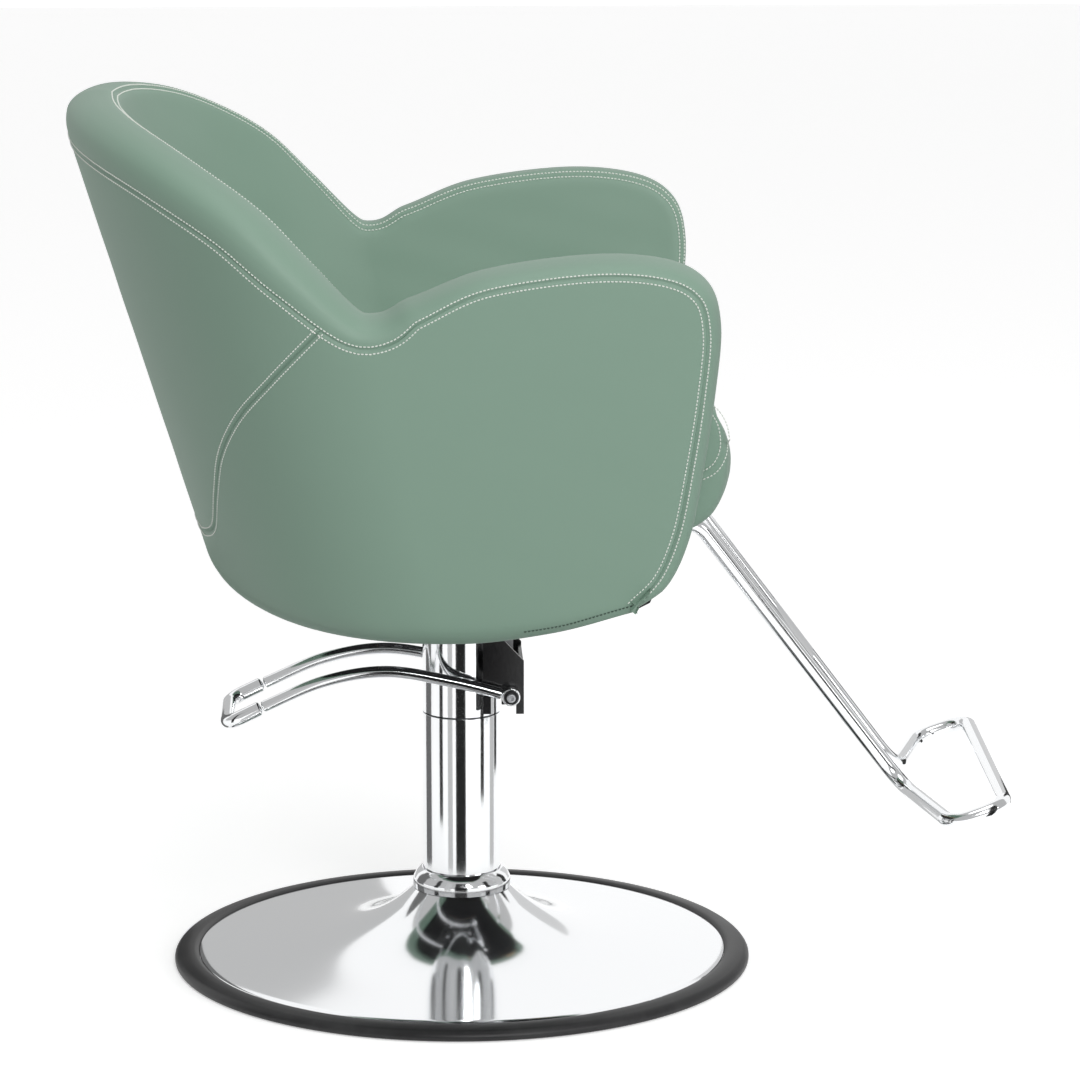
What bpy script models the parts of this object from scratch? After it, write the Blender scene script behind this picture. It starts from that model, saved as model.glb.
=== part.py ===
"""Hydraulic salon styling chair: upholstered tub, pump column, pump lever, footrest and disc base.

Metres, +Z up. The origin is on the column's axis at floor level, +X is the way the sitter faces
and +Y is the sitter's left. The chair is modelled at its lowest height with the lever released.
"""
import math

import bmesh
import bpy
import numpy as np
from mathutils import Matrix, Vector

# ---- fits -------------------------------------------------------------------------------------
GAP = 0.0003            # between two pieces that touch
RUN = 0.0010            # between a turning piece and what surrounds it
LAYER_GAP = 0.0015      # between the layers of the tub's wall, whose facets do not match
BAND_GAP = 0.0022       # under the rim band, whose underside is not quite flat

# ---- base -------------------------------------------------------------------------------------
BASE_R = 0.300          # outside of the rubber rim
RIM_WIDTH = 0.0255      # rim, seen from above
RIM_HEIGHT = 0.014
PLATE_T = 0.006         # steel ballast plate
PLATE_INSET = 0.006     # plate edge inside the cover's edge
COVER_T = 0.002         # spun chrome cover
COVER_EDGE_Z = 0.0125   # top of the cover at its edge
COVER_NECK_Z = 0.077    # top of the cover under the collar
COVER_CONE = 0.35       # share of the rise that is a straight cone, the rest is the flare
COLLAR_R = 0.0505
COLLAR_BAND = 0.010     # height of the collar's upright band
COLLAR_BEVEL = 0.0108   # height of the bevel above the band
DISC_SEGMENTS = 40      # facets round the base

# ---- pump column ------------------------------------------------------------------------------
COLUMN_R = 0.040
SLEEVE_T = 0.0025
LOWER_SLEEVE_TOP = 0.2645
CYLINDER_WALL = 0.0045
FLANGE_R = 0.075
FLANGE_T = 0.008
FLANGE_BOLT_CIRCLE = 0.060
CYLINDER_TOP = 0.250
CYLINDER_FLOOR = 0.024
GLAND_T = 0.008
RAM_R = 0.028
RAM_BOTTOM = 0.030
RAM_TOP = 0.317
SEAL_Z = 0.040
SEAL_H = 0.008
BORE_PLAY = 0.002       # between the ram and the cylinder's bore
WASHER_T = 0.002

# ---- plunger in the top of the ram ------------------------------------------------------------
PLUNGER_R = 0.012
PLUNGER_HEAD_T = 0.005
PLUNGER_TOP = 0.3425
STEM_R = 0.005
STEM_LENGTH = 0.070
STEM_BORE_DEPTH = 0.072
SPRING_POCKET_R = 0.0105
SPRING_POCKET_DEPTH = 0.020
SPRING_R = 0.008
SPRING_WIRE = 0.0007

# ---- head casting, seat plate and seat frame --------------------------------------------------
BOARD_Z = 0.420         # underside of the plywood seat board
BOARD_T = 0.015
BOARD_CORNER = 0.095    # radius of the board's front corners
SEAT_PLATE_T = 0.005
SEAT_PLATE_X = 0.090
SEAT_PLATE_Y = 0.075
HEAD_FLANGE_T = 0.008
HEAD_FLANGE_X = 0.070
HEAD_FLANGE_Y = 0.050
HEAD_R = 0.0365
HEAD_BOTTOM = 0.270
HEAD_STEP_R = 0.0225
HEAD_STEP_T = 0.006
HEAD_CAVITY_TOP = 0.382
WINDOW_HALF = 0.0095    # half width of the slot that the rocker reaches through
WINDOW_TOP = 0.372
HEAD_WINDOW_Z = 0.300
SLEEVE_WINDOW_Z = 0.283
HEAD_BOLT_X = 0.0545
HEAD_BOLT_Y = 0.031
BOLT_R = 0.004
BOLT_HEAD_R = 0.0065
BOLT_HEAD_T = 0.006
COVER_PANEL_T = 0.0025
RAIL_T = 0.022
RAIL_H = 0.052
RAIL_FRONT_X = 0.190
RAIL_REAR_X = -0.120
RAIL_SIDE_Y = 0.200
DECK_T = 0.012

# ---- pump lever -------------------------------------------------------------------------------
LEVER_X = 0.050         # pivot, ahead of the column
LEVER_Z = 0.292
LEVER_Y = 0.052         # centre line of each rod from the middle
LEVER_ROD_R = 0.006
LEVER_GRIP_R = 0.0075
LEVER_FRONT = (-0.011, 0.3080)      # centre line of the rods, as (x, z)
LEVER_PEAK = (-0.078, 0.3190)
LEVER_REAR = (-0.142, 0.3090)
LEVER_GRIP_START = (-0.205, 0.2825)
LEVER_END = (-0.2405, 0.2655)
LEVER_CORNER_R = 0.016
HUB_R = 0.0095
HUB_T = 0.012
AXLE_R = 0.005
HUB_WASHER_R = 0.0072
HUB_WASHER_T = 0.0010
HUB_BOLT_R = 0.0045
HUB_BOLT_T = 0.0030
ROCKER_HALF = 0.007
ROCKER_HUB_R = 0.0085
ROCKER_ARM = 0.010
ROCKER_TOP = 0.357
ROCKER_NOSE_X = 0.008
ROCKER_NOSE_R = 0.0065
BUSH_R = 0.0075
RETURN_SPRING_R = 0.0072
RETURN_SPRING_WIRE = 0.0009

# ---- black lever bracket ----------------------------------------------------------------------
CHEEK_Y = 0.041
CHEEK_T = 0.004
CHEEK_BACK = 0.0216
CHEEK_FRONT = 0.0635
CHEEK_BOTTOM = 0.2715
CHEEK_LEG = 0.008
CHEEK_NECK = 0.0215     # width of the cheeks above their shoulder
CHEEK_SHOULDER_Z = 0.3275
CHEEK_NECK_Z = 0.349
WEB_T = 0.004
WEB_TOP = 0.326

# ---- footrest ---------------------------------------------------------------------------------
TUBE_R = 0.008
LEG_Y = 0.055           # half spacing of the legs under the seat
LEG_Y_LOW = 0.034       # half spacing at the lower bend
LEG_TOP = (0.240, 0.474)
LEG_LOW = (0.455, 0.190)
LOOP_OUTER = (0.492, 0.176, 0.186)
BAR_CORNER = (0.546, 0.176, 0.205)
TOP_BEND_R = 0.030
LOW_BEND_R = 0.034
LOOP_BEND_R = 0.026
BRACKET_T = 0.004
BRACKET_HALF_Y = 0.090
BRACKET_HALF_Z = 0.020
APRON_T = 0.010
APRON_HALF_Y = 0.222
APRON_FLAT_Y = 0.100     # the apron bends back outside this
APRON_SWEEP = 0.0120
APRON_BOTTOM = 0.4385
APRON_TOP = 0.4985

# ---- tub --------------------------------------------------------------------------------------
WALL_T = 0.062          # back and arms, leather to leather
PAD_OUT_T = 0.020       # outer foam and leather
SHELL_T = 0.016         # moulded plywood
BACK_X = -0.2600        # outer face of the back on the centre line, at BACK_Z
BACK_Z = 0.440
BACK_LEAN = 0.311       # rearward per metre of height
SIDE_Y = 0.337          # outer face of an arm at ARM_Z
ARM_Z = 0.720
SIDE_FLARE = 0.150      # outward per metre of height
BEND_X = -0.020         # where the straight side turns into the back, at TUB_BOTTOM
BEND_SHIFT = 0.230      # rearward per metre of height
ARM_TAPER = 0.012       # the arms draw in at their fronts
TUB_BOTTOM = 0.3993
BOTTOM_RISE = 0.395     # the arms' lower edge rises with x to the power 1.5
WALL_FOOT = 0.004       # wall pieces end this far above the lower edge
CURL_BACK = 0.045       # radius of the lower edge at the back
CURL_SIDE = 0.020       # and along the sides
SEAM_BACK = 0.045       # rim band's depth at the back
SEAM_ARM = 0.016        # and along the arm
PANEL_SEAM_Z = 0.475    # lower seam of the outer back panel
PANEL_TIP = 0.010       # least height of the back panel, where its corner points meet the rim band

# Rim of the back, as (share of the quarter turn from the middle of the back, height).
BACK_RIM = [(0.00, 0.912), (0.24, 0.905), (0.45, 0.889), (0.62, 0.863), (0.76, 0.830), (0.87, 0.784)]
# Rim of an arm, as (x, z), from the dip behind the arm round its front to the lower edge.
ARM_RIM = [(-0.100, 0.7330), (-0.052, 0.7480), (0.018, 0.7745), (0.120, 0.7880), (0.194, 0.7820),
           (0.234, 0.7590), (0.2470, 0.7170), (0.2430, 0.6530), (0.2320, 0.5740), (0.2190, 0.5060),
           (0.1980, 0.4590), (0.1660, 0.4340)]
# Seam between the outer back and side panels, as (x, z).
PANEL_SEAM = [(-0.2600, 0.4752), (-0.2495, 0.4900), (-0.2458, 0.5300), (-0.2400, 0.5760),
              (-0.2220, 0.6210), (-0.1900, 0.6645), (-0.138, 0.7105)]

# ---- seat cushion -----------------------------------------------------------------------------
CUSHION_GAP = 0.006
CUSHION_BACK_X = -0.215
NOSE_X = 0.2765
SEAT_DISH = 0.016       # the seat is lower along its middle than beside the arms
NOSE_SWEEP = 0.015      # the nose draws back towards its sides
CUSHION_FLOOR = 0.5000
# Side outline at the middle, as (x, z), from the lower back corner forward and round the nose.
CUSHION_SIDE = [(-0.215, 0.5000), (0.200, 0.5000), (0.2180, 0.5002), (0.2370, 0.5035), (0.2560, 0.5140),
                (0.2690, 0.5340), (0.2758, 0.5600), (0.2760, 0.5860), (0.2700, 0.6120), (0.2530, 0.6340),
                (0.2150, 0.6425), (0.1200, 0.6330), (0.0000, 0.6160), (-0.1400, 0.6050), (-0.215, 0.5980)]

GREEN = (0.205, 0.315, 0.245)
CHROME = (0.88, 0.89, 0.90)
STEEL = (0.55, 0.56, 0.58)
BLACK = (0.012, 0.012, 0.013)
WOOD = (0.55, 0.40, 0.24)


# ================================================================================================
# Helpers
# ================================================================================================

def finish(name):
    """Materials by finish: colour, roughness, metallic."""
    looks = {
        "leather": (GREEN, 0.55, 0.0),
        "chrome": (CHROME, 0.06, 1.0),
        "steel": (STEEL, 0.35, 1.0),
        "black_paint": (BLACK, 0.25, 0.0),
        "rubber": (BLACK, 0.60, 0.0),
        "plywood": (WOOD, 0.65, 0.0),
        "cloth": ((0.03, 0.03, 0.03), 0.9, 0.0),
    }
    return looks[name]


def add_mesh(name, vertices, faces, look, body, smooth=True):
    """Mesh object with its faces turned outwards, its own material, and its body as parent."""
    mesh = bpy.data.meshes.new(name)
    bm = bmesh.new()
    verts = [bm.verts.new(v) for v in vertices]
    for face in faces:
        bm.faces.new([verts[i] for i in face])
    bmesh.ops.remove_doubles(bm, verts=bm.verts, dist=1e-6)
    bmesh.ops.recalc_face_normals(bm, faces=bm.faces)
    bm.to_mesh(mesh)
    bm.free()
    if smooth:
        mesh.shade_smooth()
        mesh.set_sharp_from_angle(angle=math.radians(35))
    return add_object(name, mesh, look, body)


def add_object(name, data, look, body):
    obj = bpy.data.objects.new(name, data)
    bpy.context.collection.objects.link(obj)
    colour, roughness, metallic = finish(look)
    mat = bpy.data.materials.new(name)
    mat.use_nodes = True
    shader = mat.node_tree.nodes["Principled BSDF"]
    shader.inputs["Base Color"].default_value = (*colour, 1.0)
    shader.inputs["Roughness"].default_value = roughness
    shader.inputs["Metallic"].default_value = metallic
    data.materials.append(mat)
    if body is not None:
        obj.parent = body
        obj.matrix_parent_inverse = body.matrix_world.inverted()
    return obj


def add_body(name, x, z):
    """Empty on a joint's axis, the parent of everything that moves with it."""
    empty = bpy.data.objects.new(name, None)
    bpy.context.collection.objects.link(empty)
    empty.location = (x, 0.0, z)
    bpy.context.view_layer.update()
    return empty


def turned(name, profile, look, body, segments=24):
    """Solid of revolution about the column's axis, from a closed (radius, height) outline."""
    count = len(profile)
    angles = np.linspace(0.0, 2.0 * math.pi, segments, endpoint=False)
    vertices = [(r * math.cos(a), r * math.sin(a), z) for a in angles for r, z in profile]
    faces = []
    for i in range(segments):
        for j in range(count):
            k = (j + 1) % count
            if profile[j][0] == 0.0 and profile[k][0] == 0.0:
                continue
            a = i * count
            b = ((i + 1) % segments) * count
            quad = [a + j, b + j, b + k, a + k]
            if profile[j][0] == 0.0:
                quad = [a + j, b + k, a + k]
            elif profile[k][0] == 0.0:
                quad = [a + j, b + j, a + k]
            faces.append(quad)
    return add_mesh(name, vertices, faces, look, body)


def ring_profile(r_in, r_out, low, high, chamfer=0.0):
    """Rectangular ring outline with its outer corners chamfered."""
    if chamfer == 0.0:
        return [(r_in, low), (r_out, low), (r_out, high), (r_in, high)]
    return [(r_in, low), (r_out - chamfer, low), (r_out, low + chamfer),
            (r_out, high - chamfer), (r_out - chamfer, high), (r_in, high)]


def prism(name, outline, low, high, look, body, plane="XY", smooth=False):
    """Outline pushed from low to high: an XY outline along Z, an XZ one along Y, a YZ one along X."""
    order = {"XY": (0, 1, 2), "XZ": (0, 2, 1), "YZ": (1, 2, 0)}[plane]
    vertices = []
    for level in (low, high):
        for a, b in outline:
            point = [0.0, 0.0, 0.0]
            point[order[0]] = a
            point[order[1]] = b
            point[order[2]] = level
            vertices.append(point)
    count = len(outline)
    faces = [list(range(count)), list(range(count, 2 * count))]
    for i in range(count):
        j = (i + 1) % count
        faces.append([i, j, j + count, i + count])
    return add_mesh(name, vertices, faces, look, body, smooth)


def box(name, x, y, z, look, body):
    """Box from (low, high) pairs."""
    outline = [(x[0], y[0]), (x[1], y[0]), (x[1], y[1]), (x[0], y[1])]
    return prism(name, outline, z[0], z[1], look, body)


def arc(cx, cy, radius, start, end, steps):
    """Points of a circular arc, angles in degrees."""
    angles = np.radians(np.linspace(start, end, steps + 1))
    return [(cx + radius * math.cos(a), cy + radius * math.sin(a)) for a in angles]


def sweep(name, path, radius, look, body, sides=8):
    """Round bar along a path, with flat ends. The section turns as little as it can."""
    path = np.asarray(path, float)
    tangents = np.gradient(path, axis=0)
    tangents /= np.linalg.norm(tangents, axis=1)[:, None]
    side = np.cross(tangents[0], (0.123, 0.456, 0.881))
    vertices = []
    for point, tangent in zip(path, tangents):
        side = side - tangent * np.dot(side, tangent)
        side /= np.linalg.norm(side)
        other = np.cross(tangent, side)
        for a in np.linspace(0.0, 2.0 * math.pi, sides, endpoint=False):
            vertices.append(point + radius * (math.cos(a) * side + math.sin(a) * other))
    rings = len(path)
    faces = [list(range(sides)), list(range((rings - 1) * sides, rings * sides))]
    for i in range(rings - 1):
        for j in range(sides):
            k = (j + 1) % sides
            faces.append([i * sides + j, i * sides + k, (i + 1) * sides + k, (i + 1) * sides + j])
    return add_mesh(name, vertices, faces, look, body)


def rounded_path(corners, radii, steps=4):
    """Path through corner points with each inner corner bent to its radius."""
    corners = [Vector(c) for c in corners]
    path = [corners[0]]
    for before, corner, after, radius in zip(corners, corners[1:], corners[2:], radii):
        back = (before - corner).normalized()
        ahead = (after - corner).normalized()
        half = back.angle(ahead) / 2.0
        centre = corner + (back + ahead).normalized() * (radius / math.sin(half))
        start = corner + back * (radius / math.tan(half))
        end = corner + ahead * (radius / math.tan(half))
        for i in range(steps + 1):
            way = (start - centre).slerp(end - centre, i / steps)
            path.append(centre + way.normalized() * radius)
    path.append(corners[-1])
    return [tuple(p) for p in path]


def smooth_path(points, per_span):
    """Catmull-Rom curve through the points."""
    pts = np.asarray(points, float)
    pts = np.vstack([2 * pts[0] - pts[1], pts, 2 * pts[-1] - pts[-2]])
    out = []
    for i in range(1, len(pts) - 2):
        p0, p1, p2, p3 = pts[i - 1:i + 3]
        for t in np.arange(per_span) / per_span:
            out.append(0.5 * (2 * p1 + (p2 - p0) * t + (2 * p0 - 5 * p1 + 4 * p2 - p3) * t ** 2
                              + (3 * p1 - p0 - 3 * p2 + p3) * t ** 3))
    out.append(pts[-2])
    return np.array(out)


def helix(centre, axis, radius, length, turns, per_turn):
    """Helix along Y or Z, starting at centre."""
    steps = int(turns * per_turn)
    points = []
    for i in range(steps + 1):
        a = 2.0 * math.pi * i / per_turn
        along = length * i / steps
        if axis == "Z":
            shift = (radius * math.cos(a), radius * math.sin(a), along)
        else:
            shift = (radius * math.cos(a), along, radius * math.sin(a))
        points.append(tuple(c + d for c, d in zip(centre, shift)))
    return points


def combine(target, tool, operation):
    """Boolean of target with a hidden tool object."""
    tool.hide_render = True
    tool.display_type = "WIRE"
    modifier = target.modifiers.new(tool.name, "BOOLEAN")
    modifier.operation = operation
    modifier.object = tool
    modifier.solver = "EXACT"


def round_cutter(name, start, end, radius, segments=16):
    """Cylinder between two points, for a hole."""
    return sweep(name, [start, end], radius, "steel", None, sides=segments)


# ================================================================================================
# Tub wall: one surface that every upholstery piece is taken from
# ================================================================================================

def back_x(z):
    return BACK_X - BACK_LEAN * (z - BACK_Z)


def side_y(z):
    return SIDE_Y + SIDE_FLARE * (z - ARM_Z)


def bend_x(z):
    return BEND_X - BEND_SHIFT * (z - TUB_BOTTOM)


def lower_edge(x):
    """Height of the tub's lower edge at x."""
    return TUB_BOTTOM + BOTTOM_RISE * np.maximum(x, 0.0) ** 1.5


def station(x, z):
    """Way round the wall: 0 at the middle of the back, 1 at the bend, above 1 along the arm."""
    ahead = 1.0 + (x - bend_x(z))
    reach = (bend_x(z) - x) / (bend_x(z) - back_x(z))
    behind = np.arccos(np.clip(reach, -1.0, 1.0)) / (math.pi / 2.0)
    return np.where(x >= bend_x(z), ahead, behind)


def wall_point(p, z, depth):
    """Point of the wall at station p and height z, at a depth behind its outer face.

    Behind the bend the plan is a quarter ellipse from the back's middle to the side, and ahead of
    it a straight line that draws in a little. Near the lower edge the wall curls under.
    """
    p, z, depth = np.broadcast_arrays(np.asarray(p, float), z, depth)
    angle = np.minimum(p, 1.0) * math.pi / 2.0
    along = np.maximum(p - 1.0, 0.0)
    x_flat = bend_x(z) + along
    lift = z - lower_edge(np.where(p > 1.0, x_flat, 0.0))
    curl = CURL_BACK + (CURL_SIDE - CURL_BACK) * np.sin(angle) ** 2
    under = np.clip(curl - lift, 0.0, curl)
    inward = depth + curl - np.sqrt(curl ** 2 - under ** 2)
    long_axis = bend_x(z) - back_x(z) - inward
    x = np.where(p > 1.0, x_flat, bend_x(z) - long_axis * np.cos(angle))
    y = (side_y(z) - inward) * np.sin(angle) - ARM_TAPER * (along / (NOSE_X - BEND_X)) ** 2
    return np.stack([x, y, z], axis=-1)


RIM_STEPS = 2
DIP = RIM_STEPS * len(BACK_RIM)     # row of the rim curve in the dip behind the arm


def rim_curve():
    """Rim from the middle of the back to the foot of the arm's front, as (station, height) rows."""
    arm = [(float(station(x, z)), z) for x, z in ARM_RIM]
    return smooth_path(BACK_RIM + arm, RIM_STEPS)


def seam_curve():
    """Panel seam as (station, height) rows."""
    return smooth_path([(float(station(x, z)), z) for x, z in PANEL_SEAM], 3)


def inset_rim(rim, depth):
    """Rim moved down into the wall by a depth for each of its points, square to the rim."""
    step = 1e-4
    p, z = rim[:, 0], rim[:, 1]
    here = wall_point(p, z, 0.0)
    along_p = (wall_point(p + step, z, 0.0) - here) / step
    along_z = (wall_point(p, z + step, 0.0) - here) / step
    run = np.gradient(here, axis=0)
    normal = np.cross(along_p, along_z)
    inward = np.cross(normal, run)
    inward /= np.linalg.norm(inward, axis=1)[:, None]
    inward *= -np.sign(inward[len(inward) // 3, 2])
    frame = np.stack([along_p, along_z], axis=-1)
    shift = np.array([np.linalg.lstsq(f, d, rcond=None)[0] for f, d in zip(frame, inward)])
    return rim + shift * np.asarray(depth)[:, None]


def band_depth(rim):
    """Depth of the rim band: deep round the back, shallow along the arm."""
    share = np.clip((np.arange(len(rim)) - DIP + 2 * RIM_STEPS) / (4 * RIM_STEPS), 0.0, 1.0)
    blend = share ** 2 * (3.0 - 2.0 * share)
    return SEAM_BACK + (SEAM_ARM - SEAM_BACK) * blend


def foot_curve(rim):
    """Point of the lower edge below each point of the rim."""
    last = ARM_RIM[-1][0]
    shares = np.linspace(0.0, 1.0, len(rim) - DIP)
    start = float(wall_point(rim[DIP, 0], TUB_BOTTOM + CURL_SIDE, 0.0)[0])
    x = start + (last - start) * shares
    z = lower_edge(x) + WALL_FOOT
    foot = rim.copy()
    foot[:DIP, 1] = TUB_BOTTOM + WALL_FOOT
    foot[DIP:, 0] = station(x, z)
    foot[DIP:, 1] = z
    reach = foot[DIP, 0] / rim[DIP, 0]
    foot[:DIP, 0] = rim[:DIP, 0] * (1.0 + (reach - 1.0) * np.arange(DIP) / DIP)
    return foot


CURL_LIFTS = (0.0, 0.008, 0.022, 0.045)     # rows of points up the curled foot
CURL_CROWD = 0.18       # most share of the height per curl row
FRONT_ROWS = 3          # rows of the rim past the wall's front end
BACK_SPLIT = 0.0006     # share of the turn between the two outer side pads and the back's middle
PAD_SPLIT = 0.002       # the same between the inner side and back pads


def wall_solid(name, top, foot, depths, rows, sides, look, body, curled=False):
    """Closed piece of the wall between a top and a foot curve and two depths.

    rows are counted above the curled foot if the piece has one, or over the whole height.
    sides is +1 or -1 for one side of the chair, or 0 for a piece that runs across the back.
    """
    height = top[:, 1] - foot[:, 1]
    start = [np.zeros_like(height)]
    if curled:
        start = [np.minimum(lift / height, CURL_CROWD * i) for i, lift in enumerate(CURL_LIFTS)]
    rest = [start[-1] + (1.0 - start[-1]) * i / rows for i in range(1, rows + 1)]
    share = np.stack(start + rest)[:, :, None]
    grid = foot[None] + (top - foot)[None] * share
    layers = []
    for depth in depths:
        layer = wall_point(grid[..., 0], grid[..., 1], depth)
        if sides == 0:
            mirrored = layer[:, :0:-1] * (1.0, -1.0, 1.0)
            layer = np.concatenate([mirrored, layer], axis=1)
        else:
            layer = layer * (1.0, sides, 1.0)
        layers.append(layer)
    return grid_solid(name, layers[0], layers[1], look, body)


def grid_solid(name, front, back, look, body):
    """Closed solid between two grids of the same size."""
    rows, columns = front.shape[:2]
    vertices = np.concatenate([front.reshape(-1, 3), back.reshape(-1, 3)])
    size = rows * columns
    faces = []
    for i in range(rows - 1):
        for j in range(columns - 1):
            a = i * columns + j
            faces.append([a, a + 1, a + columns + 1, a + columns])
            faces.append([a + size, a + columns + size, a + columns + 1 + size, a + 1 + size])
    border = [j for j in range(columns)]
    border += [i * columns + columns - 1 for i in range(1, rows)]
    border += [(rows - 1) * columns + j for j in range(columns - 2, -1, -1)]
    border += [i * columns for i in range(rows - 2, 0, -1)]
    for a, b in zip(border, border[1:] + border[:1]):
        faces.append([a, b, b + size, a + size])
    return add_mesh(name, vertices, faces, look, body)


# ================================================================================================
# Base
# ================================================================================================

COVER_R = BASE_R - RIM_WIDTH - GAP


def cover_height(radius):
    """Top of the chrome cover: a low cone that flares up to the collar."""
    share = (COVER_R - radius) / (COVER_R - COLLAR_R)
    share = min(max(share, 0.0), 1.0)
    rise = COVER_CONE * share + (1.0 - COVER_CONE) * share ** 5
    return COVER_EDGE_Z + (COVER_NECK_Z - COVER_EDGE_Z) * rise


def make_base():
    turned("base_plate", ring_profile(0.0, COVER_R - PLATE_INSET, 0.0, PLATE_T), "steel", None,
           DISC_SEGMENTS)
    radii = [COVER_R, 0.200, 0.125, 0.090, 0.068, COLLAR_R]
    top = [(r, cover_height(r)) for r in radii] + [(COLUMN_R + RUN, COVER_NECK_Z)]
    under = [(r, z - COVER_T) for r, z in reversed(top)]
    turned("base_cover", under + top, "chrome", None, DISC_SEGMENTS)
    inner = BASE_R - RIM_WIDTH
    rim = [(inner, 0.0), (BASE_R - 0.012, 0.0), (BASE_R - 0.003, 0.0017), (BASE_R, 0.0050),
           (BASE_R - 0.001, 0.0080), (BASE_R - 0.007, 0.0120), (inner, RIM_HEIGHT)]
    turned("base_rim", rim, "rubber", None, DISC_SEGMENTS)
    collar_z = COVER_NECK_Z + GAP
    band_z = collar_z + COLLAR_BAND
    collar_in = COLUMN_R + GAP
    collar = [(collar_in, collar_z), (COLLAR_R, collar_z), (COLLAR_R, band_z),
              (COLLAR_R - 0.003, band_z + 0.6 * COLLAR_BEVEL), (collar_in + 0.002, band_z + COLLAR_BEVEL),
              (collar_in, band_z + COLLAR_BEVEL)]
    turned("column_collar", collar, "chrome", None)


def make_cylinder():
    """Hydraulic cylinder: a flanged cup bolted to the base plate, its gland and its chrome sleeve."""
    low = PLATE_T + GAP
    flange_top = low + FLANGE_T
    bore = RAM_R + BORE_PLAY
    outside = bore + CYLINDER_WALL
    cup = [(0.0, low), (FLANGE_R, low), (FLANGE_R, flange_top), (outside, flange_top),
           (outside, CYLINDER_TOP), (bore, CYLINDER_TOP), (bore, CYLINDER_FLOOR), (0.0, CYLINDER_FLOOR)]
    turned("pump_cylinder", cup, "steel", None)
    gland_z = CYLINDER_TOP + GAP
    turned("gland_ring", ring_profile(RAM_R + GAP, outside, gland_z, gland_z + GLAND_T, 0.001), "steel",
           None)
    turned("lower_sleeve", ring_profile(COLUMN_R - SLEEVE_T, COLUMN_R, flange_top + GAP, LOWER_SLEEVE_TOP,
                                        0.0006), "chrome", None)
    for i in range(4):
        turn = math.radians(45 + 90 * i)
        x, y = FLANGE_BOLT_CIRCLE * math.cos(turn), FLANGE_BOLT_CIRCLE * math.sin(turn)
        head = arc(x, y, BOLT_HEAD_R, 0, 300, 5)
        head_z = flange_top + GAP
        prism(f"flange_bolt_{i + 1}", head, head_z, head_z + BOLT_HEAD_T, "steel", None)


# ================================================================================================
# Ram and plunger
# ================================================================================================

def make_ram(body):
    pocket_z = RAM_TOP - SPRING_POCKET_DEPTH
    bore_z = RAM_TOP - STEM_BORE_DEPTH
    outline = [(0.0, RAM_BOTTOM), (RAM_R, RAM_BOTTOM), (RAM_R, RAM_TOP), (SPRING_POCKET_R, RAM_TOP),
               (SPRING_POCKET_R, pocket_z), (STEM_R + 2 * GAP, pocket_z), (STEM_R + 2 * GAP, bore_z),
               (0.0, bore_z)]
    turned("ram", outline, "chrome", body)
    turned("ram_seal", ring_profile(RAM_R + GAP, RAM_R + BORE_PLAY - GAP, SEAL_Z, SEAL_Z + SEAL_H), "rubber",
           body)
    washer_z = RAM_TOP + GAP
    turned("thrust_washer", ring_profile(HEAD_STEP_R - 0.004, RAM_R - GAP, washer_z, washer_z + WASHER_T),
           "steel", body)


def make_plunger(body, ram):
    head_z = PLUNGER_TOP - PLUNGER_HEAD_T
    outline = [(0.0, head_z - STEM_LENGTH), (STEM_R, head_z - STEM_LENGTH), (STEM_R, head_z),
               (PLUNGER_R, head_z), (PLUNGER_R, PLUNGER_TOP), (0.0, PLUNGER_TOP)]
    turned("plunger_pin", outline, "steel", body, segments=20)
    low = RAM_TOP - SPRING_POCKET_DEPTH + GAP + SPRING_WIRE
    high = head_z - GAP - SPRING_WIRE
    sweep("plunger_spring", helix((0.0, 0.0, low), "Z", SPRING_R, high - low, 5, 8), SPRING_WIRE, "steel",
          ram, sides=4)


# ================================================================================================
# Head, sleeve and seat frame
# ================================================================================================

PLATE_Z = BOARD_Z - GAP - SEAT_PLATE_T
FLANGE_Z = PLATE_Z - GAP - HEAD_FLANGE_T
RAIL_Z = BOARD_Z + BOARD_T + GAP
DECK_Z = RAIL_Z + RAIL_H + GAP


def head_bolt_places():
    return [(x, y) for x in (HEAD_BOLT_X, -HEAD_BOLT_X) for y in (HEAD_BOLT_Y, -HEAD_BOLT_Y)]


def drill_bolts(target, low, high):
    """Clearance holes for the four head bolts."""
    for i, (x, y) in enumerate(head_bolt_places()):
        tool = round_cutter(f"{target.name}_drill_{i}", (x, y, low - 0.01), (x, y, high + 0.01),
                            BOLT_R + GAP, 10)
        combine(target, tool, "DIFFERENCE")


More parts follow.
